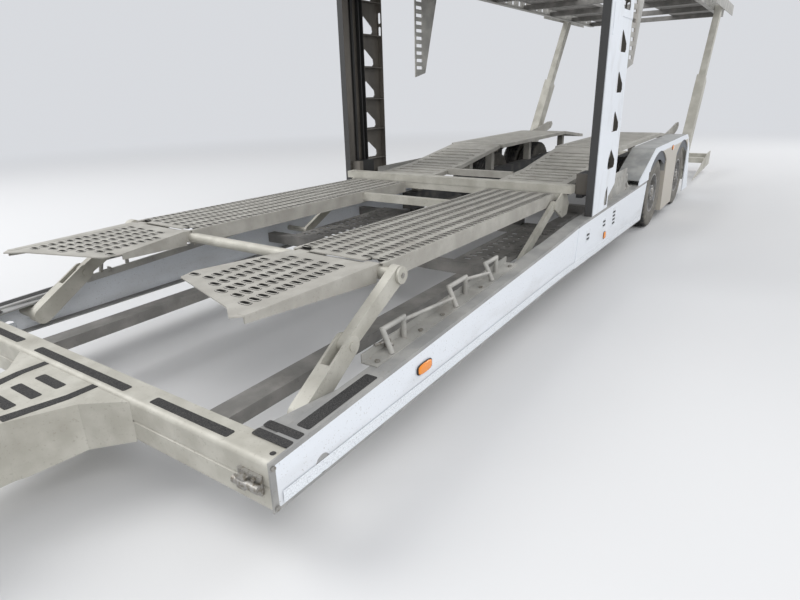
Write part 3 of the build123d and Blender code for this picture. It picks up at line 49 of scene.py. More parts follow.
# Side beams. Two long pressed beams carry the platform. Their webs are sprayed white over zinc
# up to the rolled edges, and the flanges that feet and wheels reach stay bare and dusty.
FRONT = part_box("front_crossmember")[1].x
HALF_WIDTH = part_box("side_beam_left")[1].y
BEAM_TOP = np.array([(0.0, 0.458), (-2.790, 0.570), (-3.330, 0.602), (-5.650, 0.618)])
BEAM_BOTTOM = np.array([(0.0, 0.252), (-1.320, 0.254), (-2.890, 0.258), (-5.520, 0.201)])
WEB_DEPTH = 0.0125
PAINT_FRONT, PAINT_TOP, PAINT_BOTTOM = 0.026, 0.0208, 0.013
FILM_HIGH, FILM_LOW = 0.62, 0.20
WHITE = (0.72, 0.75, 0.79, 1.0)
WHITE_SOIL = (0.36, 0.34, 0.31, 1.0)
BEAM_ZINC = (0.24, 0.24, 0.235, 1.0)
BEAM_BLOOM = (0.33, 0.325, 0.31, 1.0)
ZINC_STAIN = (0.20, 0.185, 0.16, 1.0)


class Wire:
    """One socket of a material. Arithmetic on wires adds the maths nodes it stands for."""

    def __init__(self, tree, socket):
        self.tree = tree
        self.socket = socket

    def node(self, kind, sockets, output=0, **settings):
        """Add a node: its settings first, then the values or wires of its sockets."""
        made = self.tree.nodes.new(kind)
        for key, value in settings.items():
            setattr(made, key, value)
        for key, value in sockets.items():
            if isinstance(value, Wire):
                self.tree.links.new(value.socket, made.inputs[key])
            else:
                made.inputs[key].default_value = value
        return Wire(self.tree, made.outputs[output])

    def maths(self, operation, first, second=0.0):
        return self.node("ShaderNodeMath", {0: first, 1: second}, operation=operation)

    def __add__(self, other):
        return self.maths("ADD", self, other)

    def __sub__(self, other):
        return self.maths("SUBTRACT", self, other)

    def __rsub__(self, other):
        return self.maths("SUBTRACT", other, self)

    def __mul__(self, other):
        return self.maths("MULTIPLY", self, other)

    def __pow__(self, other):
        return self.maths("POWER", self, other)

    def __gt__(self, other):
        return self.maths("GREATER_THAN", self, other)

    def __lt__(self, other):
        return self.maths("LESS_THAN", self, other)

    def __abs__(self):
        return self.maths("ABSOLUTE", self)

    __radd__ = __add__
    __rmul__ = __mul__

    def between(self, low, high, shape="SMOOTHSTEP"):
        """0 below one value, 1 above another, and smooth or straight between them."""
        return self.node("ShaderNodeMapRange", {"Value": self, "From Min": low, "From Max": high},
                         interpolation_type=shape)

    def along(self, line):
        """Height of a polyline of (x, z) points, from front to rear, at this wire's x: the first
        height, plus the rise of each length of line times the share of it that is passed."""
        height = float(line[0, 1])
        for (x, z), (next_x, next_z) in zip(line.tolist(), line[1:].tolist()):
            height = self.between(x, next_x, "LINEAR") * (next_z - z) + height
        return height

    def mix(self, first, second):
        """Colour that goes from first to second as this wire goes from 0 to 1."""
        return self.node("ShaderNodeMix", {0: self, 6: first, 7: second}, output=2,
                         data_type="RGBA")

    def noise(self, scale, detail=4.0, stretch=(1.0, 1.0, 1.0)):
        """Cloudy noise about 0.5, drawn out along an axis where its stretch is small."""
        place = self.node("ShaderNodeMapping", {"Vector": self, "Scale": stretch})
        return self.node("ShaderNodeTexNoise", {"Vector": place, "Scale": scale, "Detail": detail})

    def axis(self, index):
        """The x, y or z of a place."""
        return self.node("ShaderNodeSeparateXYZ", {0: self}, output=index)

    def bump(self, shader, distance, strength=1.0):
        """Raise the shader's surface by this wire."""
        height = {"Height": self, "Distance": distance, "Strength": strength}
        self.node("ShaderNodeBump", height).into(shader, "Normal")

    def into(self, shader, name):
        self.tree.links.new(self.socket, shader.inputs[name])


def new_material(name, roughness=0.5, metallic=0.0, colour=None):
    """A material with its shader and with the surface's place as a wire."""
    made = bpy.data.materials.new(name)
    made.use_nodes = True
    shader = made.node_tree.nodes["Principled BSDF"]
    shader.inputs["Roughness"].default_value = roughness
    shader.inputs["Metallic"].default_value = metallic
    if colour is not None:
        shader.inputs["Base Color"].default_value = colour
    place = made.node_tree.nodes.new("ShaderNodeTexCoord").outputs["Object"]
    return made, shader, Wire(made.node_tree, place)


def zinc_colour(place, base, pale, stain=ZINC_STAIN):
    """Hot-dip zinc: cloudy grey with pale bloom, brown run-off streaks and small spots."""
    bloom = place.noise(7.0, 7.0).between(0.34, 0.70)
    streak = place.noise(4.0, 6.0, (1.0, 1.0, 0.25)).between(0.55, 0.78)
    spot = place.noise(80.0, 2.0).between(0.62, 0.70)
    colour = (streak * 0.45).mix(bloom.mix(base, pale), stain)
    return (spot * 0.30).mix(colour, stain)


def finish_nodes(material, *names):
    """Give a material to CAD nodes."""
    for name in names:
        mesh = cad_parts[name].data
        mesh.materials.clear()
        mesh.materials.append(material)


beam_paint, shader, place = new_material("beam_paint")
station, height = place.axis(0) - FRONT, place.axis(2)
film = height.between(FILM_HIGH, FILM_LOW) * 0.30
splash = (place.noise(6.0, 8.0, (0.5, 1.0, 1.6)) * 0.6 + film).between(0.42, 0.75)
speck = place.noise(120.0, 2.0).between(0.66, 0.70)
painted = (speck * 0.5).mix((splash * 0.30).mix(WHITE, WHITE_SOIL), WHITE_SOIL)
white_area = (abs(place.axis(1)) > HALF_WIDTH - WEB_DEPTH) * (station < -PAINT_FRONT)
white_area = white_area * (height < station.along(BEAM_TOP) - PAINT_TOP)
white_area = white_area * (height > station.along(BEAM_BOTTOM) + PAINT_BOTTOM)
white_area.mix(zinc_colour(place, BEAM_ZINC, BEAM_BLOOM), painted).into(shader, "Base Color")
(splash * 0.25 + 0.30 + (1.0 - white_area) * 0.2).into(shader, "Roughness")
shader.inputs["Coat Weight"].default_value = 0.15
place.noise(9.0, 2.0).bump(shader, 0.0006)
finish_nodes(beam_paint, "side_beam_left", "side_beam_right")

# Reflecting tape. White honeycomb tape is stuck along the lower edge of both webs, from the front
# corner back to the wheel panels. It is a thin film that follows the bend of the beam's bottom.
TAPE_FRONT, TAPE_REAR = -0.045, -5.40
TAPE_HEIGHT, TAPE_THICK, TAPE_ABOVE_EDGE = 0.050, 0.0006, 0.020
TAPE_STEPS = 40
SHARP_ANGLE = 0.6


def skins(name, groups, material, body, ring=False, smooth=False):
    """Mesh of closed skins. A group is an array (copies, sections, points, 3): each copy's
    neighbouring sections are joined by bands of quads, and its first and last section are
    closed by flat ends, or joined to each other where ring is true. A copy whose enclosed
    volume, the sum of its faces' triple products, comes out negative has its faces turned."""
    vertices, faces, base = [], [], 0
    for group in groups:
        copies, sections, points, _ = group.shape
        flat = group.reshape(-1, 3)
        index = np.arange(len(flat)).reshape(copies, sections, points)
        start = flat[index[:, :1, :1]]
        before, after = (index, np.roll(index, -1, 1)) if ring else (index[:, :-1], index[:, 1:])
        quads = np.stack([before, after, np.roll(after, -1, 2), np.roll(before, -1, 2)], -1)
        one, two, three, four = np.moveaxis(flat[quads] - start[..., None, :], -2, 0)
        volume = (np.cross(one, two) * three + np.cross(one, three) * four).sum((1, 2, 3))
        ends = np.stack([index[:, 0], index[:, -1, ::-1]], 1)
        if not ring:
            fan = flat[ends] - start
            volume += (np.cross(fan[:, :, 1:-1], fan[:, :, 2:]) * fan[:, :, :1]).sum((1, 2, 3))
        turned = volume < 0
        quads[turned] = quads[turned][..., ::-1]
        ends[turned] = ends[turned][..., ::-1]
        faces += (quads.reshape(-1, 4) + base).tolist()
        if not ring:
            faces += (ends.reshape(-1, points) + base).tolist()
        vertices.append(flat)
        base += len(flat)
    mesh = bpy.data.meshes.new(name)
    mesh.from_pydata(np.concatenate(vertices), [], faces)
    mesh.materials.append(material)
    mesh.polygons.foreach_set("use_smooth", [smooth] * len(mesh.polygons))
    mesh.set_sharp_from_angle(angle=SHARP_ANGLE)
    made = bpy.data.objects.new(name, mesh)
    bpy.context.collection.objects.link(made)
    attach(made, body)
    return made


def plates(outlines, thickness):
    """Flat plates: each outline of points is repeated, moved by the thickness vector."""
    lower = np.asarray(outlines, float)
    return np.stack([lower, lower + np.asarray(thickness, float)], 1)


def both_sides(group):
    """A group of skins followed by its mirror image on the right side."""
    return np.concatenate([group, group * (1.0, -1.0, 1.0)])


def line_height(line, x):
    """Height of a polyline of (x, z) points at stations."""
    return np.interp(-np.asarray(x, float), -line[:, 0], line[:, 1])


tape, shader, place = new_material("reflecting_tape", roughness=0.25)
cell = place.node("ShaderNodeTexVoronoi", {"Vector": place, "Scale": 90.0},
                  feature="DISTANCE_TO_EDGE")
honeycomb = cell.between(0.02, 0.06).mix((0.50, 0.52, 0.55, 1.0), (0.74, 0.77, 0.80, 1.0))
honeycomb.into(shader, "Base Color")
x = np.linspace(TAPE_FRONT, TAPE_REAR, TAPE_STEPS)
z = line_height(BEAM_BOTTOM, x) + TAPE_ABOVE_EDGE
lower = np.stack([x + FRONT, np.full(TAPE_STEPS, HALF_WIDTH), z], -1)
strip = np.concatenate([lower, (lower + (0.0, 0.0, TAPE_HEIGHT))[::-1]])
groups = [both_sides(plates([strip], (0.0, TAPE_THICK, 0.0)))]
skins("reflecting_tape", groups, tape, "chassis")

# Galvanised structure. Crossmembers, drawbar, arms and rails are welded steel, dipped in zinc
# after welding. The zinc has weathered to a warm light grey, and road dust lies on it. The low
# frame and the upper deck's tracks and cross tubes are given a darker grey: painted shade.


def zinc_finish(name, base, pale, stain, rough, *nodes):
    """Zinc-coated material for CAD nodes, in their own grey, with its texture."""
    made, shader, place = new_material(name, metallic=0.2)
    zinc_colour(place, base, pale, stain).into(shader, "Base Color")
    (place.noise(18.0, 4.0) * 0.35 + rough).into(shader, "Roughness")
    place.noise(140.0, 3.0).bump(shader, 0.0008, 0.6)
    finish_nodes(made, *nodes)
    return made


zinc_finish("zinc_clean", (0.40, 0.385, 0.335, 1.0), (0.50, 0.485, 0.43, 1.0),
            (0.25, 0.23, 0.19, 1.0), 0.42, "front_crossmember", "drawbar", "upper_arms",
            "lower_arms", "platform_tubes", "rear_tube", "arm_supports", "tail_frame",
            "post_outers", "post_inners")
zinc_dusty = zinc_finish("zinc_dusty", (0.35, 0.335, 0.30, 1.0), (0.43, 0.415, 0.375, 1.0),
                         (0.23, 0.21, 0.18, 1.0), 0.50, "platform_track_left",
                         "platform_track_right", "flap_left", "flap_right", "middle_tracks",
                         "axle_deck")
zinc_rail = zinc_finish("zinc_rail", (0.31, 0.305, 0.285, 1.0), (0.42, 0.41, 0.38, 1.0),
                        (0.22, 0.18, 0.14, 1.0), 0.42, "rail_racks", "rear_crossmember",
                        "upper_deck_beams")
# Painted shade: a darker zinc grey for the parts under the platform and the upper deck.
zinc_finish("zinc_painted_shade", (0.17, 0.165, 0.155, 1.0), (0.25, 0.24, 0.225, 1.0),
            (0.09, 0.082, 0.072, 1.0), 0.50, "low_frame", "upper_deck_tracks",
            "upper_deck_cross_tubes")

# Wheel panels. Sheet metal closes the sides of the wheels. The slope and the upper edge shine
# white, the leg between the wheels is caked with beige dust, and rubber lips line the arches.
AXLES = (-6.190, -7.780)
PANEL_INNER = HALF_WIDTH - 0.012
ARCH_CENTRE, ARCH_R, ARCH_HALF = 0.121, 0.757, 0.458
LIP_THICK, LIP_ROOT_R, LIP_LOW = 0.0065, 0.655, 0.69
LIP_PROUD = 0.0003
FENDER_LOW = 0.60
DUST_FRONT, DUST_REAR, DUST_TOP = (-5.90, -6.40), (-8.32, -8.05), (0.885, 0.845)
PANEL_DUST = (0.46, 0.425, 0.365, 1.0)
FENDER_ZINC = (0.25, 0.255, 0.25, 1.0)
FENDER_BLOOM = (0.36, 0.36, 0.345, 1.0)
LIP_RUBBER = (0.035, 0.042, 0.055, 1.0)

panel_paint, shader, place = new_material("panel_paint", roughness=0.42)
station, height = place.axis(0) - FRONT, place.axis(2)
side = abs(place.axis(1))
dusty = station.between(*DUST_FRONT) * station.between(*DUST_REAR) * height.between(*DUST_TOP)
dust = (dusty * 0.75 + place.noise(7.0, 7.0) * 0.5 - 0.2).between(0.10, 0.75)
fender = (side < PANEL_INNER) * (height > FENDER_LOW)
painted = fender.mix(dust.mix(WHITE, PANEL_DUST), zinc_colour(place, FENDER_ZINC, FENDER_BLOOM))
lips = 0.0
for axle in AXLES:
    off = station - axle
    radius = (off ** 2.0 + (height - ARCH_CENTRE) ** 2.0) ** 0.5
    lips = lips + (abs(off) < ARCH_HALF) * (radius < ARCH_R + LIP_THICK) * (radius > LIP_ROOT_R)
lips = lips * (side < PANEL_INNER + LIP_PROUD) * (side > PANEL_INNER - LIP_THICK)
(lips * (height > LIP_LOW)).mix(painted, LIP_RUBBER).into(shader, "Base Color")
place.noise(12.0, 3.0).bump(shader, 0.0006)
finish_nodes(panel_paint, "side_panel_left", "side_panel_right")

# Masts. Pressed columns sprayed white outside. A grey strip along the white's front edge is
# painted shade on the rounded corner. The front faces are painted near black as grime and painted
# shade, the inside dark as grease and painted shade, and the slot black as painted shade.
MAST_FRONT = -3.583
MAST_SKIN, MAST_EDGE_SHADE_WIDTH, MAST_FACE_DEPTH = 0.0045, 0.022, 0.0004
MAST_SLOT, MAST_SLOT_DEPTH = (0.086, 0.31), 0.012
EDGE_SHADE_GREY = (0.30, 0.32, 0.34, 1.0)
MAST_INNER_GREASE_AND_SHADE, MAST_INNER_GRIME_AND_SHADE = (0.075, 0.068, 0.058, 1.0), (0.14, 0.125, 0.105, 1.0)
MAST_FACE_GRIME_AND_SHADE, MAST_SLOT_SHADE = (0.045, 0.045, 0.045, 1.0), (0.018, 0.018, 0.018, 1.0)

mast_paint, shader, place = new_material("mast_paint")
station, side = place.axis(0) - FRONT, abs(place.axis(1))
soil = place.noise(9.0, 6.0, (1.0, 1.0, 0.4)).between(0.45, 0.85) * 0.35
# The white's front 22 mm, at the rounded corner, is grey: painted shade.
painted = (station > MAST_FRONT - MAST_EDGE_SHADE_WIDTH).mix(soil.mix(WHITE, WHITE_SOIL), EDGE_SHADE_GREY)
# The inside is painted dark for grease and for shade.
inner = place.noise(5.0, 6.0, (1.0, 1.0, 0.3)).between(0.35, 0.70).mix(MAST_INNER_GREASE_AND_SHADE, MAST_INNER_GRIME_AND_SHADE)
# The front face is painted near black for grime and for shade.
inner = (station > MAST_FRONT - MAST_FACE_DEPTH).mix(inner, MAST_FACE_GRIME_AND_SHADE)
# The slot, deeper than the inner face, is painted black: painted shade.
slot = (station < MAST_FRONT - MAST_SLOT[0]) * (station > MAST_FRONT - MAST_SLOT[1])
inner = (slot * (side < HALF_WIDTH - MAST_SLOT_DEPTH)).mix(inner, MAST_SLOT_SHADE)
outer = side > HALF_WIDTH - MAST_SKIN
outer.mix(inner, painted).into(shader, "Base Color")
(0.60 - outer * 0.25).into(shader, "Roughness")
finish_nodes(mast_paint, "mast_left", "mast_right")

# Running gear. Axles with their trailing arms, spine beams, parking jack and towing eye are forged
# or welded steel. They are sprayed black, and greyed by road film.
dark_steel, shader, place = new_material("dark_steel", roughness=0.55)
film = place.noise(8.0, 5.0).between(0.45, 0.75) * 0.6
film.mix((0.035, 0.036, 0.038, 1.0), (0.13, 0.12, 0.105, 1.0)).into(shader, "Base Color")
place.noise(90.0, 2.0).bump(shader, 0.0006, 0.5)
finish_nodes(dark_steel, "towing_eye", "parking_jack", "spine_beams", "axle_front", "axle_rear")

# Air springs. Bellows of dull black rubber stand between the trailing arms and the frame, and
# carry the trailer's load.
bellows, shader, place = new_material("bellows_rubber", roughness=0.7,
                                      colour=(0.03, 0.03, 0.031, 1.0))
finish_nodes(bellows, "air_springs")

# Tyres. Twin road tyres, each with four grooves round its tread, notched shoulders and a raised
# scuff ridge. They are grey with dust on the sidewalls, and darker where they roll.
AXLE_HEIGHT = 0.397
TYRE_HALF, TWIN_PITCH = 0.1165, 0.262
TYRE_OUTER = HALF_WIDTH - 0.025
SIDE = [(-0.098, 0.2225), (-0.104, 0.232), (-0.110, 0.250), (-0.1145, 0.282), (-0.1160, 0.300),
        (-0.1165, 0.303), (-0.1158, 0.307), (-0.1150, 0.330), (-0.1135, 0.352), (-0.1110, 0.368),
        (-0.1040, 0.385), (-0.0920, 0.3945)]
TYRE_R = 0.3970
GROOVES = (-0.060, -0.021, 0.021, 0.060)
GROOVE_HALF, GROOVE_DEPTH = 0.0045, 0.012
GROOVE_WALLS = ((-1.2, 0), (-0.8, 1), (0.8, 1), (1.2, 0))
SHOULDER_LOW, SHOULDER_HIGH, NOTCH_DEPTH, NOTCH_EVERY = 0.372, 0.3950, 0.007, 3
CLEAN_R, DUSTY_R = 0.396, 0.375
SEGMENTS = 120
CORNERS = [(name, axle, hand, side) for name, axle in zip(("front", "rear"), AXLES)
           for hand, side in (("left", 1.0), ("right", -1.0))]

tyre_rubber, shader, place = new_material("tyre_rubber", roughness=0.78)
station = place.axis(0) - FRONT
nearest = AXLES[0] + (AXLES[1] - AXLES[0]) * (station < sum(AXLES) / 2)
radius = ((station - nearest) ** 2.0 + (place.axis(2) - AXLE_HEIGHT) ** 2.0) ** 0.5
dust = radius.between(CLEAN_R, DUSTY_R) * 0.55
dust = dust + place.noise(14.0, 5.0).between(0.40, 0.70) * 0.30
dust.mix((0.020, 0.020, 0.021, 1.0), (0.23, 0.215, 0.185, 1.0)).into(shader, "Base Color")
place.noise(60.0, 3.0).bump(shader, 0.0006)


def tyre_profile():
    """Closed outline of a tyre's section as (y, radius): sidewall, grooved tread, sidewall."""
    tread = [(y + step * GROOVE_HALF, TYRE_R - deep * GROOVE_DEPTH)
             for y in GROOVES for step, deep in GROOVE_WALLS]
    return np.array(SIDE + tread + [(-y, r) for y, r in reversed(SIDE)])


def tyre_skins(axle, side):
    """Two tyres turned about an axle: radius times cosine and sine, with every third step of
    the shoulders cut back to form the notches."""
    profile = tyre_profile()
    angle = np.arange(SEGMENTS) * 2 * pi / SEGMENTS
    notch = np.where(np.arange(SEGMENTS) % NOTCH_EVERY == 0, NOTCH_DEPTH, 0.0)[:, None]
    shoulder = (profile[:, 1] > SHOULDER_LOW) & (profile[:, 1] < SHOULDER_HIGH)
    radius = profile[:, 1] - notch * shoulder
    x = FRONT + axle + radius * np.cos(angle)[:, None]
    z = AXLE_HEIGHT + radius * np.sin(angle)[:, None]
    mids = TYRE_OUTER - TYRE_HALF - np.array([0.0, TWIN_PITCH])
    widths = [np.broadcast_to(side * (mid + profile[:, 0]), x.shape) for mid in mids]
    return np.stack([np.stack([x, y, z], -1) for y in widths])


for name, axle, hand, side in CORNERS:
    tyre = skins(f"tyre_pair_{name}_{hand}", [tyre_skins(axle, side)], tyre_rubber,
                 f"wheel_{name}_{hand}", ring=True, smooth=True)
    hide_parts(f"tyres_{name}_{hand}")

# Wheels. Pressed steel discs in silver paint, held by ten nuts on studs round the hub, which has
# a bolted cap. Brake dust and road film have browned them.
DISC_FACE = TYRE_OUTER - TYRE_HALF - TWIN_PITCH / 2 + 0.0138
HUB_FACE = TYRE_OUTER - 0.0182
STUD_CIRCLE, STUDS = 0.111, 10
NUT_R, NUT_HEIGHT, STUD_R, STUD_HEIGHT, STUD_SIDES = 0.0165, 0.024, 0.009, 0.040, 8
CAP_CIRCLE, CAP_SCREWS = 0.072, 8
SCREW_R, SCREW_HEIGHT, CAP_R, CAP_HEIGHT = 0.008, 0.007, 0.058, 0.012
CAP_SIDES, CAP_TAPER = 24, 0.8

wheel_steel, shader, place = new_material("wheel_steel", roughness=0.4, metallic=0.5)
dust = place.noise(16.0, 5.0).between(0.35, 0.70) * 0.7
dust.mix((0.46, 0.46, 0.46, 1.0), (0.22, 0.20, 0.17, 1.0)).into(shader, "Base Color")
finish_nodes(wheel_steel, "rims_front_left", "rims_front_right", "rims_rear_left",
             "rims_rear_right")
fastener, shader, place = new_material("fastener_zinc", roughness=0.45, metallic=0.5)
worn = place.noise(60.0, 2.0).between(0.4, 0.7)
worn.mix((0.30, 0.29, 0.27, 1.0), (0.17, 0.15, 0.12, 1.0)).into(shader, "Base Color")


def prisms(centres, axis, radius, height, sides=6, top=1.0):
    """Many-sided bars that stand on their centres along axis 0, 1 or 2: a ring of points at
    equal angles, and the same ring lifted and scaled by the share that its top has."""
    centres = np.asarray(centres, float)
    angle = np.arange(sides) * 2 * pi / sides
    ring, lift = np.zeros((sides, 3)), np.zeros(3)
    ring[:, (axis + 1) % 3] = radius * np.cos(angle)
    ring[:, (axis + 2) % 3] = radius * np.sin(angle)
    lift[axis] = height
    return centres[:, None, None] + np.stack([ring, ring * top + lift])


def round_points(centre, radius, count, axis=1):
    """Points evenly spaced on a circle about an axis through a centre."""
    angle = (np.arange(count) + 0.5) * 2 * pi / count
    points = np.zeros((count, 3)) + centre
    points[:, (axis + 1) % 3] += radius * np.cos(angle)
    points[:, (axis + 2) % 3] += radius * np.sin(angle)
    return points


for name, axle, hand, side in CORNERS:
    hub = (FRONT + axle, side * HUB_FACE, AXLE_HEIGHT)
    studs = round_points((FRONT + axle, side * DISC_FACE, AXLE_HEIGHT), STUD_CIRCLE, STUDS)
    screws = round_points(hub, CAP_CIRCLE, CAP_SCREWS)
    groups = [prisms(studs, 1, NUT_R, side * NUT_HEIGHT),
              prisms(studs, 1, STUD_R, side * STUD_HEIGHT, STUD_SIDES),
              prisms(screws, 1, SCREW_R, side * SCREW_HEIGHT),
              prisms([hub], 1, CAP_R, side * CAP_HEIGHT, CAP_SIDES, CAP_TAPER)]
    skins(f"wheel_nuts_{name}_{hand}", groups, fastener, f"wheel_{name}_{hand}")

# Slot rims. Every slot of the platform and its flaps is pressed through, with a raised rim that
# tyres have rubbed brighter than the plate, and a collar that hangs below, painted near black as
# painted shade inside the slot.
SLOT_END, SLOT_STRAIGHT, ARC_POINTS = 0.012, 0.0165, 5
RIM_PROFILE = np.array([(-0.0022, -0.0140), (-0.0002, 0.0030), (0.0060, 0.0004),
                        (-0.0004, -0.0140)])
RIM_FOOT = 0.0016
SLOT_PITCH, ROW_STEP = 0.048, 0.100
PLATFORM_TOP, PLATFORM_SLOPE, PLATFORM_LENGTH = 0.838, radians(0.9), 2.35
FIRST_SLOT, FIRST_ROW, SLOT_COUNT, ROW_COUNT = -1.109, 0.465, 48, 6
HINGE_X, HINGE_Z = -1.060, 0.790
PLATE_LINE = np.array([(HINGE_X, PLATFORM_TOP),
                       (HINGE_X - PLATFORM_LENGTH,
                        PLATFORM_TOP - PLATFORM_LENGTH * sin(PLATFORM_SLOPE))])
FLAP_FIRST_SLOT, FLAP_FIRST_ROW, FLAP_SLOT_COUNT, FLAP_ROW_COUNT = -0.240, 0.947, 15, 7
FLAP_OUTER_ROW = 0.90
FLAP_FRONT_EDGE = ((0.322, -0.422), (0.815, -0.270))  # as (y, x)
FLAP_INNER_EDGE = ((-1.011, 0.441), (-0.516, 0.295))  # as (x, y)
FLAP_FRONT_MARGIN, FLAP_INNER_MARGIN = 0.049, 0.057

rim_zinc, shader, place = new_material("rubbed_zinc_and_collar_shade", roughness=0.40, metallic=0.2)
rubbed = place.noise(30.0, 3.0).between(0.35, 0.7)
rubbed = rubbed.mix((0.47, 0.455, 0.41, 1.0), (0.34, 0.325, 0.29, 1.0))
# The collar below the plate's top is painted near black: painted shade inside the slot.
painted_collar_shade = place.axis(2) < (place.axis(0) - FRONT).along(PLATE_LINE) + RIM_FOOT
painted_collar_shade.mix(rubbed, (0.022, 0.021, 0.019, 1.0)).into(shader, "Base Color")


def slot_rims(x, y, z):
    """Rims round slots centred at (x, y, z). A slot's outline is a half circle at each end of a
    straight part, and the rim's profile moves it outwards and lifts it."""
    angle = np.linspace(-pi / 2, pi / 2, ARC_POINTS)
    away = np.stack([np.sin(angle), np.cos(angle)], -1)
    away = np.concatenate([away, -away])
    end = np.repeat([SLOT_STRAIGHT, -SLOT_STRAIGHT], ARC_POINTS)[:, None] * (0.0, 1.0)
    plan = end + away * (SLOT_END + RIM_PROFILE[:, :1, None])
    rise = np.broadcast_to(RIM_PROFILE[:, 1, None, None], plan.shape[:2] + (1,))
    return np.stack([x, y, z], -1)[:, None, None, :] + np.concatenate([plan, rise], -1)


def edge_at(edge, value):
    """Second coordinate of the straight line through two points where the first is value."""
    (start, low), (end, high) = edge
    return low + (value - start) * (high - low) / (end - start)


x, y = np.meshgrid(FIRST_SLOT - SLOT_PITCH * np.arange(SLOT_COUNT),
                   FIRST_ROW + ROW_STEP * np.arange(ROW_COUNT), indexing="ij")
rims = slot_rims(x.ravel(), y.ravel(), np.full(x.size, PLATFORM_TOP))
ahead, above = rims[..., 0] - HINGE_X, rims[..., 2] - HINGE_Z
rims[..., 0] = FRONT + HINGE_X + ahead * cos(PLATFORM_SLOPE) - above * sin(PLATFORM_SLOPE)
rims[..., 2] = HINGE_Z + ahead * sin(PLATFORM_SLOPE) + above * cos(PLATFORM_SLOPE)
skins("platform_slot_rims", [both_sides(rims)], rim_zinc, "platform", ring=True)
x, y = np.meshgrid(FLAP_FIRST_SLOT - SLOT_PITCH * np.arange(FLAP_SLOT_COUNT),
                   FLAP_FIRST_ROW - ROW_STEP * np.arange(FLAP_ROW_COUNT))
kept = (y < FLAP_OUTER_ROW) & (x + FLAP_FRONT_MARGIN < edge_at(FLAP_FRONT_EDGE, y))
kept &= y - FLAP_INNER_MARGIN > edge_at(FLAP_INNER_EDGE, x)
rims = slot_rims(FRONT + x[kept], y[kept], np.full(kept.sum(), PLATFORM_TOP))
for hand, side in (("left", 1.0), ("right", -1.0)):
    skins(f"flap_slot_rims_{hand}", [rims * (1.0, side, 1.0)], rim_zinc, f"flap_{hand}",
          ring=True)

# Flap edges. A plain folded band runs along the outer edge of each flap, outside its slots, where
# the sheet is doubled and bent down over the skirt.
BAND_REAR, BAND_FRONT, BAND_STEPS = -0.958, -0.2405, 24
BAND_INNER, BAND_THICK, BAND_DROP, BAND_OFF = 0.9125, 0.0016, 0.010, 0.0002
FLAP_OUTER_EDGE = ((-1.011, 0.992), (-0.240, 0.950))

x = np.linspace(BAND_REAR, BAND_FRONT, BAND_STEPS)
edge, inner = edge_at(FLAP_OUTER_EDGE, x), np.full(BAND_STEPS, BAND_INNER)
under, over = PLATFORM_TOP + BAND_OFF, PLATFORM_TOP + BAND_THICK
low = PLATFORM_TOP - BAND_DROP
corners = [(inner, under), (inner, over), (edge + BAND_THICK, over), (edge + BAND_THICK, low),
           (edge + BAND_OFF, low), (edge + BAND_OFF, under)]
band = np.stack([np.stack([x + FRONT, y, np.full(BAND_STEPS, z)], -1) for y, z in corners], 1)
for hand, side in (("left", 1.0), ("right", -1.0)):
    skins(f"flap_edge_band_{hand}", [band[None] * (1.0, side, 1.0)], zinc_dusty, f"flap_{hand}")

# Marker lamps. Oval amber lenses of clear plastic with a domed front, each in a dark rubber seat
# that is pressed into the side.
MARKERS = [  # station, height, half length, half height
    (-0.977, 0.392, 0.062, 0.026),
    (-4.016, 0.361, 0.032, 0.032),
    (-6.965, 0.850, 0.050, 0.030),
]
LENS_LAYERS = [(0.0, 0.94), (0.007, 0.94), (0.0105, 0.86), (0.012, 0.66)]
SEAT_LAYERS = [(0.0, 1.06), (0.003, 1.06), (0.004, 1.0)]
OVAL_POWER, OVAL_POINTS = 3.5, 28

amber, shader, place = new_material("amber_lens", roughness=0.12, colour=(0.80, 0.25, 0.015, 1.0))
shader.inputs["Coat Weight"].default_value = 0.6
seat_rubber, shader, place = new_material("lamp_seat", roughness=0.7,
                                          colour=(0.03, 0.03, 0.03, 1.0))


def ovals(layers):
    """Stacked outlines for each lamp. An outline is a superellipse: the cosine and sine of its
    angle, raised to a power below one. A layer is (height off the side, share of its size)."""
    angle = np.arange(OVAL_POINTS) * 2 * pi / OVAL_POINTS
    unit = np.stack([np.cos(angle), np.sin(angle)], -1)
    unit = np.sign(unit) * np.abs(unit) ** (2 / OVAL_POWER)
    made = []
    for x, z, half_x, half_z in MARKERS:
        made.append([np.stack([FRONT + x + unit[:, 0] * half_x * share,
                               np.full(OVAL_POINTS, HALF_WIDTH + off),
                               z + unit[:, 1] * half_z * share], -1) for off, share in layers])
    return both_sides(np.array(made))


lens = skins("marker_lenses", [ovals(LENS_LAYERS)], amber, "chassis", smooth=True)
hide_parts("marker_lamps")
skins("marker_seats", [ovals(SEAT_LAYERS)], seat_rubber, "chassis")

# Tail lamps. Ribbed red plastic covers close the two lamp boxes on the tail frame, with an amber
# segment for the turn signal in each.
AMBER_INNER, AMBER_OUTER = 1.02, 1.12

red_lens, shader, place = new_material("red_lens", roughness=0.15)
side = abs(place.axis(1))
segment = (side > AMBER_INNER) * (side < AMBER_OUTER)
segment.mix((0.50, 0.012, 0.012, 1.0), (0.75, 0.22, 0.015, 1.0)).into(shader, "Base Color")
place.node("ShaderNodeTexVoronoi", {"Vector": place, "Scale": 160.0}).bump(shader, 0.0008)
finish_nodes(red_lens, "tail_lamps")

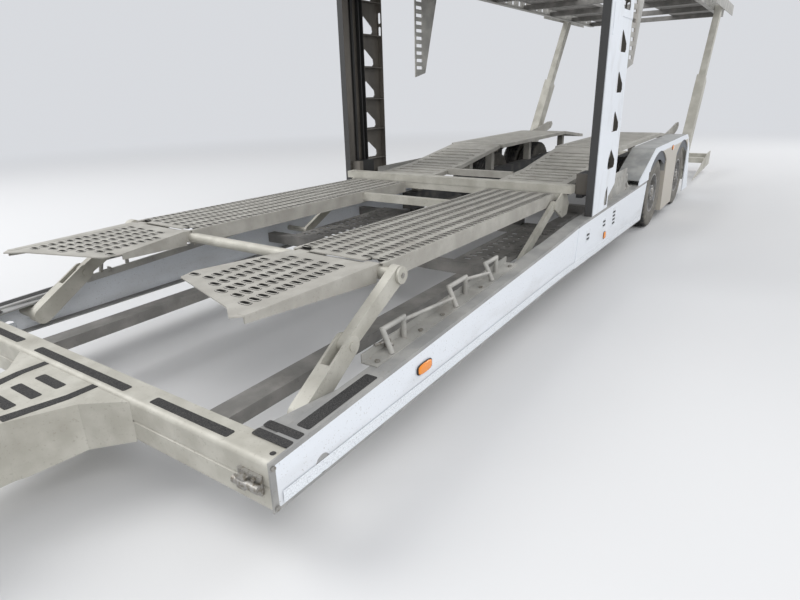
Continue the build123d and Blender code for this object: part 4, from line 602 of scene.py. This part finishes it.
# Grip strips. Self-adhesive strips of black grit are stuck where feet step: on the front
# crossmember, on the corners, along the first part of both flanges and on the drawbar.
STRIP_THICK, STRIP_OFF, STRIP_ROUND = 0.0012, 0.0002, 0.009
CROSS_TOP, DRAWBAR_TOP = 0.458, 0.446
FLANGE_STRIPS = [((-0.132, -0.092), (1.085, 1.262)), ((-0.188, -0.148), (1.085, 1.262))]
CROSS_STRIPS = [((-0.062, -0.040), (1.228, 1.250)), ((-0.074, -0.030), (0.560, 1.025))]
LONG_STRIP = ((-0.640, -0.212), (1.194, 1.256))
BENT_STRIP = np.array([(0.350, 0.128), (0.350, 0.186), (0.120, 0.232), (-0.006, 0.232),
                       (-0.006, 0.188), (0.110, 0.186)])
MIDDLE_STRIP = ((-0.070, -0.026), (-0.386, 0.386))
TREAD_STATIONS, TREAD_LENGTH, TREAD_HALF = (0.06, 0.16, 0.26), 0.046, 0.095

grit, shader, place = new_material("black_grit", roughness=0.9)
grain = place.noise(260.0, 2.0).between(0.35, 0.75)
grain.mix((0.014, 0.014, 0.015, 1.0), (0.07, 0.067, 0.062, 1.0)).into(shader, "Base Color")
place.noise(500.0, 1.0).bump(shader, 0.0015)


def rounded(x_ends, y_ends, radius=STRIP_ROUND, steps=4):
    """Outline in plan of a rectangle: a quarter circle about a point set in from each corner."""
    quarter = np.linspace(0.0, pi / 2, steps)
    corners = [(1, 1), (0, 1), (0, 0), (1, 0)]
    arcs = []
    for turn, (x_end, y_end) in enumerate(corners):
        angle = quarter + turn * pi / 2
        x = x_ends[x_end] + (1 - 2 * x_end) * radius
        y = y_ends[y_end] + (1 - 2 * y_end) * radius
        arcs.append(np.stack([x + radius * np.cos(angle), y + radius * np.sin(angle)], -1))
    return np.concatenate(arcs)


def on_top(plan, line=None, height=0.0):
    """A strip laid on a level top, or on the sloping flange of a side beam."""
    z = np.full(len(plan), height) if line is None else line_height(line, plan[:, 0])
    outline = np.stack([plan[:, 0] + FRONT, plan[:, 1], z + STRIP_OFF], -1)
    return plates([outline], (0.0, 0.0, STRIP_THICK))


groups = [both_sides(on_top(rounded(*ends), BEAM_TOP)) for ends in FLANGE_STRIPS]
groups += [both_sides(on_top(rounded(*ends), None, CROSS_TOP)) for ends in CROSS_STRIPS]
groups += [both_sides(on_top(rounded(*LONG_STRIP), BEAM_TOP)),
           both_sides(on_top(BENT_STRIP, None, DRAWBAR_TOP)),
           on_top(rounded(*MIDDLE_STRIP), None, CROSS_TOP)]
groups += [on_top(rounded((x, x + TREAD_LENGTH), (-TREAD_HALF, TREAD_HALF)), None, DRAWBAR_TOP)
           for x in TREAD_STATIONS]
skins("grip_strips", groups, grit, "chassis")

# Ramp latches. A cast block with a round bar through it is bolted to each end of the front
# crossmember by two hexagon bolts. Block, bar and bolts are zinc plated.
LATCH_ROUND = 0.006
LATCH_BASE = ((0.0, 0.016), (1.120, 1.236), (0.322, 0.398))
LATCH_BLOCK = ((0.012, 0.040), (1.135, 1.180), (0.338, 0.384))
LATCH_BAR = (0.030, 1.118, 0.361)
LATCH_BAR_R, LATCH_BAR_LENGTH, LATCH_BAR_SIDES = 0.016, 0.125, 16
LATCH_BOLTS = [(0.016, 1.206, 0.340), (0.016, 1.206, 0.382)]
LATCH_BOLT_R, LATCH_BOLT_HEAD = 0.009, 0.008
AT_FRONT = (FRONT, 0.0, 0.0)


def cast_block(x_ends, y_ends, z_ends, round_by=LATCH_ROUND):
    """Block with its vertical edges rounded, standing between two heights."""
    plan = rounded(x_ends, y_ends, round_by) + (FRONT, 0.0)
    low = np.concatenate([plan, np.full((len(plan), 1), z_ends[0])], -1)
    return plates([low], (0.0, 0.0, z_ends[1] - z_ends[0]))


bar = np.array([LATCH_BAR]) + AT_FRONT
groups = [cast_block(*LATCH_BASE), cast_block(*LATCH_BLOCK),
          prisms(bar, 1, LATCH_BAR_R, LATCH_BAR_LENGTH, LATCH_BAR_SIDES),
          prisms(np.array(LATCH_BOLTS) + AT_FRONT, 0, LATCH_BOLT_R, LATCH_BOLT_HEAD)]
skins("ramp_latches", [both_sides(group) for group in groups], fastener, "chassis")

# Knee pins. A bent rod of plated steel, which locks the arms' knee when the platform is up, rests
# in a small plate at the front end of each rack.
PIN_PATH = [(-0.905, 1.150, 0.500), (-0.870, 1.135, 0.530), (-0.800, 1.122, 0.535)]
PIN_R, PIN_PLATE_ROUND = 0.008, 0.004
PIN_PLATE = ((-0.880, -0.868), (1.118, 1.160), (0.494, 0.545))


def bar_along(path, radius, sides=10):
    """Round bar through points: a circle square to the path at each of them."""
    path = np.asarray(path, float)
    ahead = np.gradient(path, axis=0)
    ahead /= np.linalg.norm(ahead, axis=1)[:, None]
    first = np.cross(ahead, (0.0, 1.0, 0.1))
    first /= np.linalg.norm(first, axis=1)[:, None]
    second = np.cross(ahead, first)
    angle = (np.arange(sides) * 2 * pi / sides)[:, None]
    circle = np.cos(angle) * first[:, None] + np.sin(angle) * second[:, None]
    return (path[:, None] + radius * circle)[None]


groups = [bar_along(np.array(PIN_PATH) + AT_FRONT, PIN_R), cast_block(*PIN_PLATE, PIN_PLATE_ROUND)]
skins("knee_pin_brackets", [both_sides(group) for group in groups], fastener, "chassis")

# Tube end bolts. A flat hexagon bolt closes each end of the platform's front tube, where the arms
# and the flaps turn on it.
TUBE_END = (HINGE_X, 1.1092, HINGE_Z)
END_BOLT_R, END_BOLT_HEIGHT = 0.014, 0.0035

groups = [both_sides(prisms(np.array([TUBE_END]) + AT_FRONT, 1, END_BOLT_R, END_BOLT_HEIGHT))]
skins("tube_end_bolts", groups, fastener, "platform")

# Rail bolts. Round-headed bolts hold the beams' front end plates, and hexagon bolts hold the
# racks to the flanges. All are plated steel.
CORNER_BOLTS = [(-0.013, HALF_WIDTH, 0.434), (-0.013, HALF_WIDTH, 0.272)]
CORNER_BOLT_R, CORNER_BOLT_HEAD, CORNER_BOLT_SIDES = 0.010, 0.005, 12
RACK_BOLT_X = np.array([-0.740, -1.100, -1.310, -1.750, -2.160])
RACK_BOLT_Y, RACK_BOLT_R, RACK_BOLT_HEAD = 1.180, 0.012, 0.009
RACK_THICK = 0.006

rack_bolts = np.stack([RACK_BOLT_X, np.full(len(RACK_BOLT_X), RACK_BOLT_Y),
                       line_height(BEAM_TOP, RACK_BOLT_X) + RACK_THICK], -1)
groups = [prisms(np.array(CORNER_BOLTS) + AT_FRONT, 1, CORNER_BOLT_R, CORNER_BOLT_HEAD,
                 CORNER_BOLT_SIDES),
          prisms(rack_bolts + AT_FRONT, 2, RACK_BOLT_R, RACK_BOLT_HEAD)]
skins("rail_bolts", [both_sides(group) for group in groups], fastener, "chassis")

# Rack rods. Round bars slope from the rear top of one loop to the front leg of the next one. They
# are bent steel rod, welded at both ends and galvanised with the rack.
RACK_RODS = [  # start and end of each, as (station, y, height over the flange)
    ((-1.000, 1.146, 0.096), (-1.440, 1.172, 0.052)),
    ((-1.624, 1.146, 0.092), (-1.881, 1.172, 0.052)),
]
RACK_ROD_R = 0.010

ends = np.array(RACK_RODS)
ends[..., 2] += line_height(BEAM_TOP, ends[..., 0])
groups = [both_sides(bar_along(path, RACK_ROD_R)) for path in ends + AT_FRONT]
skins("rack_rods", groups, zinc_rail, "chassis")

# Lashing slots. Three small pressed plates with rows of slots, for hooks, are fixed on each
# side cover, below and behind the mast. Each slot is a thin near-black plate: painted shade.
LASHING = [  # station, height, half length, half height
    (-3.506, 0.470, 0.050, 0.050),
    (-3.974, 0.477, 0.050, 0.040),
    (-4.292, 0.480, 0.055, 0.085),
]
LASHING_THICK, GAP_THICK, GAP_HALF, GAP_INSET = 0.0016, 0.0008, 0.008, 0.014
GAP_FIRST, GAP_LAST, GAP_STEP = 0.022, 0.016, 0.034
LASHING_ROUND, GAP_ROUND = 0.012, 0.006

# Painted shade: a near-black plate where each slot's opening is.
painted_slot_shade, shader, place = new_material("painted_slot_shade", roughness=0.9,
                                       colour=(0.012, 0.012, 0.013, 1.0))


def on_side(x_ends, z_ends, off, thick, radius):
    """Plates with round corners standing off both sides."""
    plan = rounded(x_ends, z_ends, radius)
    face = np.stack([plan[:, 0] + FRONT, np.full(len(plan), HALF_WIDTH + off), plan[:, 1]], -1)
    return both_sides(plates([face], (0.0, thick, 0.0)))


frames, slot_shades = [], []
for x, z, half_x, half_z in LASHING:
    frames.append(on_side((x - half_x, x + half_x), (z - half_z, z + half_z), 0.0,
                          LASHING_THICK, LASHING_ROUND))
    gap_half = half_x - GAP_INSET
    slot_shades += [on_side((x - gap_half, x + gap_half), (row - GAP_HALF, row + GAP_HALF),
                     LASHING_THICK, GAP_THICK, GAP_ROUND)
             for row in np.arange(z - half_z + GAP_FIRST, z + half_z - GAP_LAST, GAP_STEP)]
skins("lashing_plates", frames, tape, "chassis")
skins("lashing_slot_shades", slot_shades, painted_slot_shade, "chassis")

# Floor. A pale studio floor that isn't part of the trailer. Far from it the camera sees an even
# glow in its place, as bright as the backdrop, so that no horizon shows.
FLOOR_HALF = 60
FADE_START, FADE_END = 9.0, 19.0
BACKDROP = (0.86, 0.88, 0.92, 1.0)
WORLD_STRENGTH = 0.80

floor_paint, shader, place = new_material("studio_floor", roughness=0.9,
                                          colour=(0.62, 0.62, 0.62, 1.0))
corners = np.array([(-1, -1, 0), (1, -1, 0), (1, 1, 0), (-1, 1, 0)], float) * FLOOR_HALF
floor_mesh = bpy.data.meshes.new("studio_floor")
floor_mesh.from_pydata(corners, [], [(0, 1, 2, 3)])
floor_mesh.materials.append(floor_paint)
floor = bpy.data.objects.new("studio_floor", floor_mesh)
bpy.context.collection.objects.link(floor)
far = (place.axis(0) ** 2.0 + place.axis(1) ** 2.0) ** 0.5
glow = place.node("ShaderNodeEmission", {"Color": BACKDROP, "Strength": WORLD_STRENGTH})
seen = place.node("ShaderNodeLightPath", {}, output="Is Camera Ray")
surface = Wire(place.tree, shader.outputs["BSDF"])
mixed = place.node("ShaderNodeMixShader",
                   {0: far.between(FADE_START, FADE_END) * seen, 1: surface, 2: glow})
mixed.into(place.tree.nodes["Material Output"], "Surface")

# Light. An even pale world and three large soft lamps: one from ahead on the right, one from
# ahead on the left, and a weaker one from behind.
LAMPS = [  # name, place, aimed at, width, watts
    ("key_light", (FRONT + 4.0, -9.0, 11.0), (FRONT - 4.0, 0.0, 0.5), 9.0, 1500.0),
    ("fill_light", (FRONT + 4.0, 11.0, 9.0), (FRONT - 4.0, 0.0, 0.5), 10.0, 1000.0),
    ("rear_light", (FRONT - 18.0, 6.0, 10.0), (FRONT - 7.0, 0.0, 0.8), 9.0, 900.0),
]

world = bpy.data.worlds.new("studio")
world.use_nodes = True
world.node_tree.nodes["Background"].inputs["Color"].default_value = BACKDROP
world.node_tree.nodes["Background"].inputs["Strength"].default_value = WORLD_STRENGTH
bpy.context.scene.world = world
bpy.context.scene.view_settings.view_transform = "Standard"
for name, lamp_place, target, width, watts in LAMPS:
    lamp = bpy.data.lights.new(name, "AREA")
    lamp.shape = "SQUARE"
    lamp.size = width
    lamp.energy = watts
    holder = bpy.data.objects.new(name, lamp)
    bpy.context.collection.objects.link(holder)
    turn = (Vector(lamp_place) - Vector(target)).to_track_quat("Z", "Y").to_matrix()
    holder.matrix_world = Matrix.Translation(lamp_place) @ turn.to_4x4()

# Camera. It stands ahead of the left front corner at eye height and looks back along the left
# side, turned, lowered and rolled to the photograph's viewing angle.
FOCAL_PIXELS = 565.0
IMAGE_WIDTH = 800.0
SENSOR = 36.0
CAMERA_PLACE = (FRONT + 1.0395, 2.526, 1.6075)
CAMERA_DOWN = radians(20.365)
CAMERA_TURN = radians(34.38)
CAMERA_ROLL = radians(1.487)

data = bpy.data.cameras.new("photo_camera")
data.sensor_width = SENSOR
data.lens = FOCAL_PIXELS * SENSOR / IMAGE_WIDTH
camera = bpy.data.objects.new("photo_camera", data)
bpy.context.collection.objects.link(camera)
level = np.array([-cos(CAMERA_TURN), -sin(CAMERA_TURN), 0.0])
forward = level * cos(CAMERA_DOWN) - np.array([0.0, 0.0, sin(CAMERA_DOWN)])
right = np.cross(level, (0.0, 0.0, 1.0))
under = np.cross(forward, right)
across = right * cos(CAMERA_ROLL) + under * sin(CAMERA_ROLL)
under = under * cos(CAMERA_ROLL) - right * sin(CAMERA_ROLL)
turn = Matrix(np.stack([across, -under, -forward], 1).tolist())
camera.matrix_world = Matrix.Translation(CAMERA_PLACE) @ turn.to_4x4()
bpy.context.scene.camera = camera
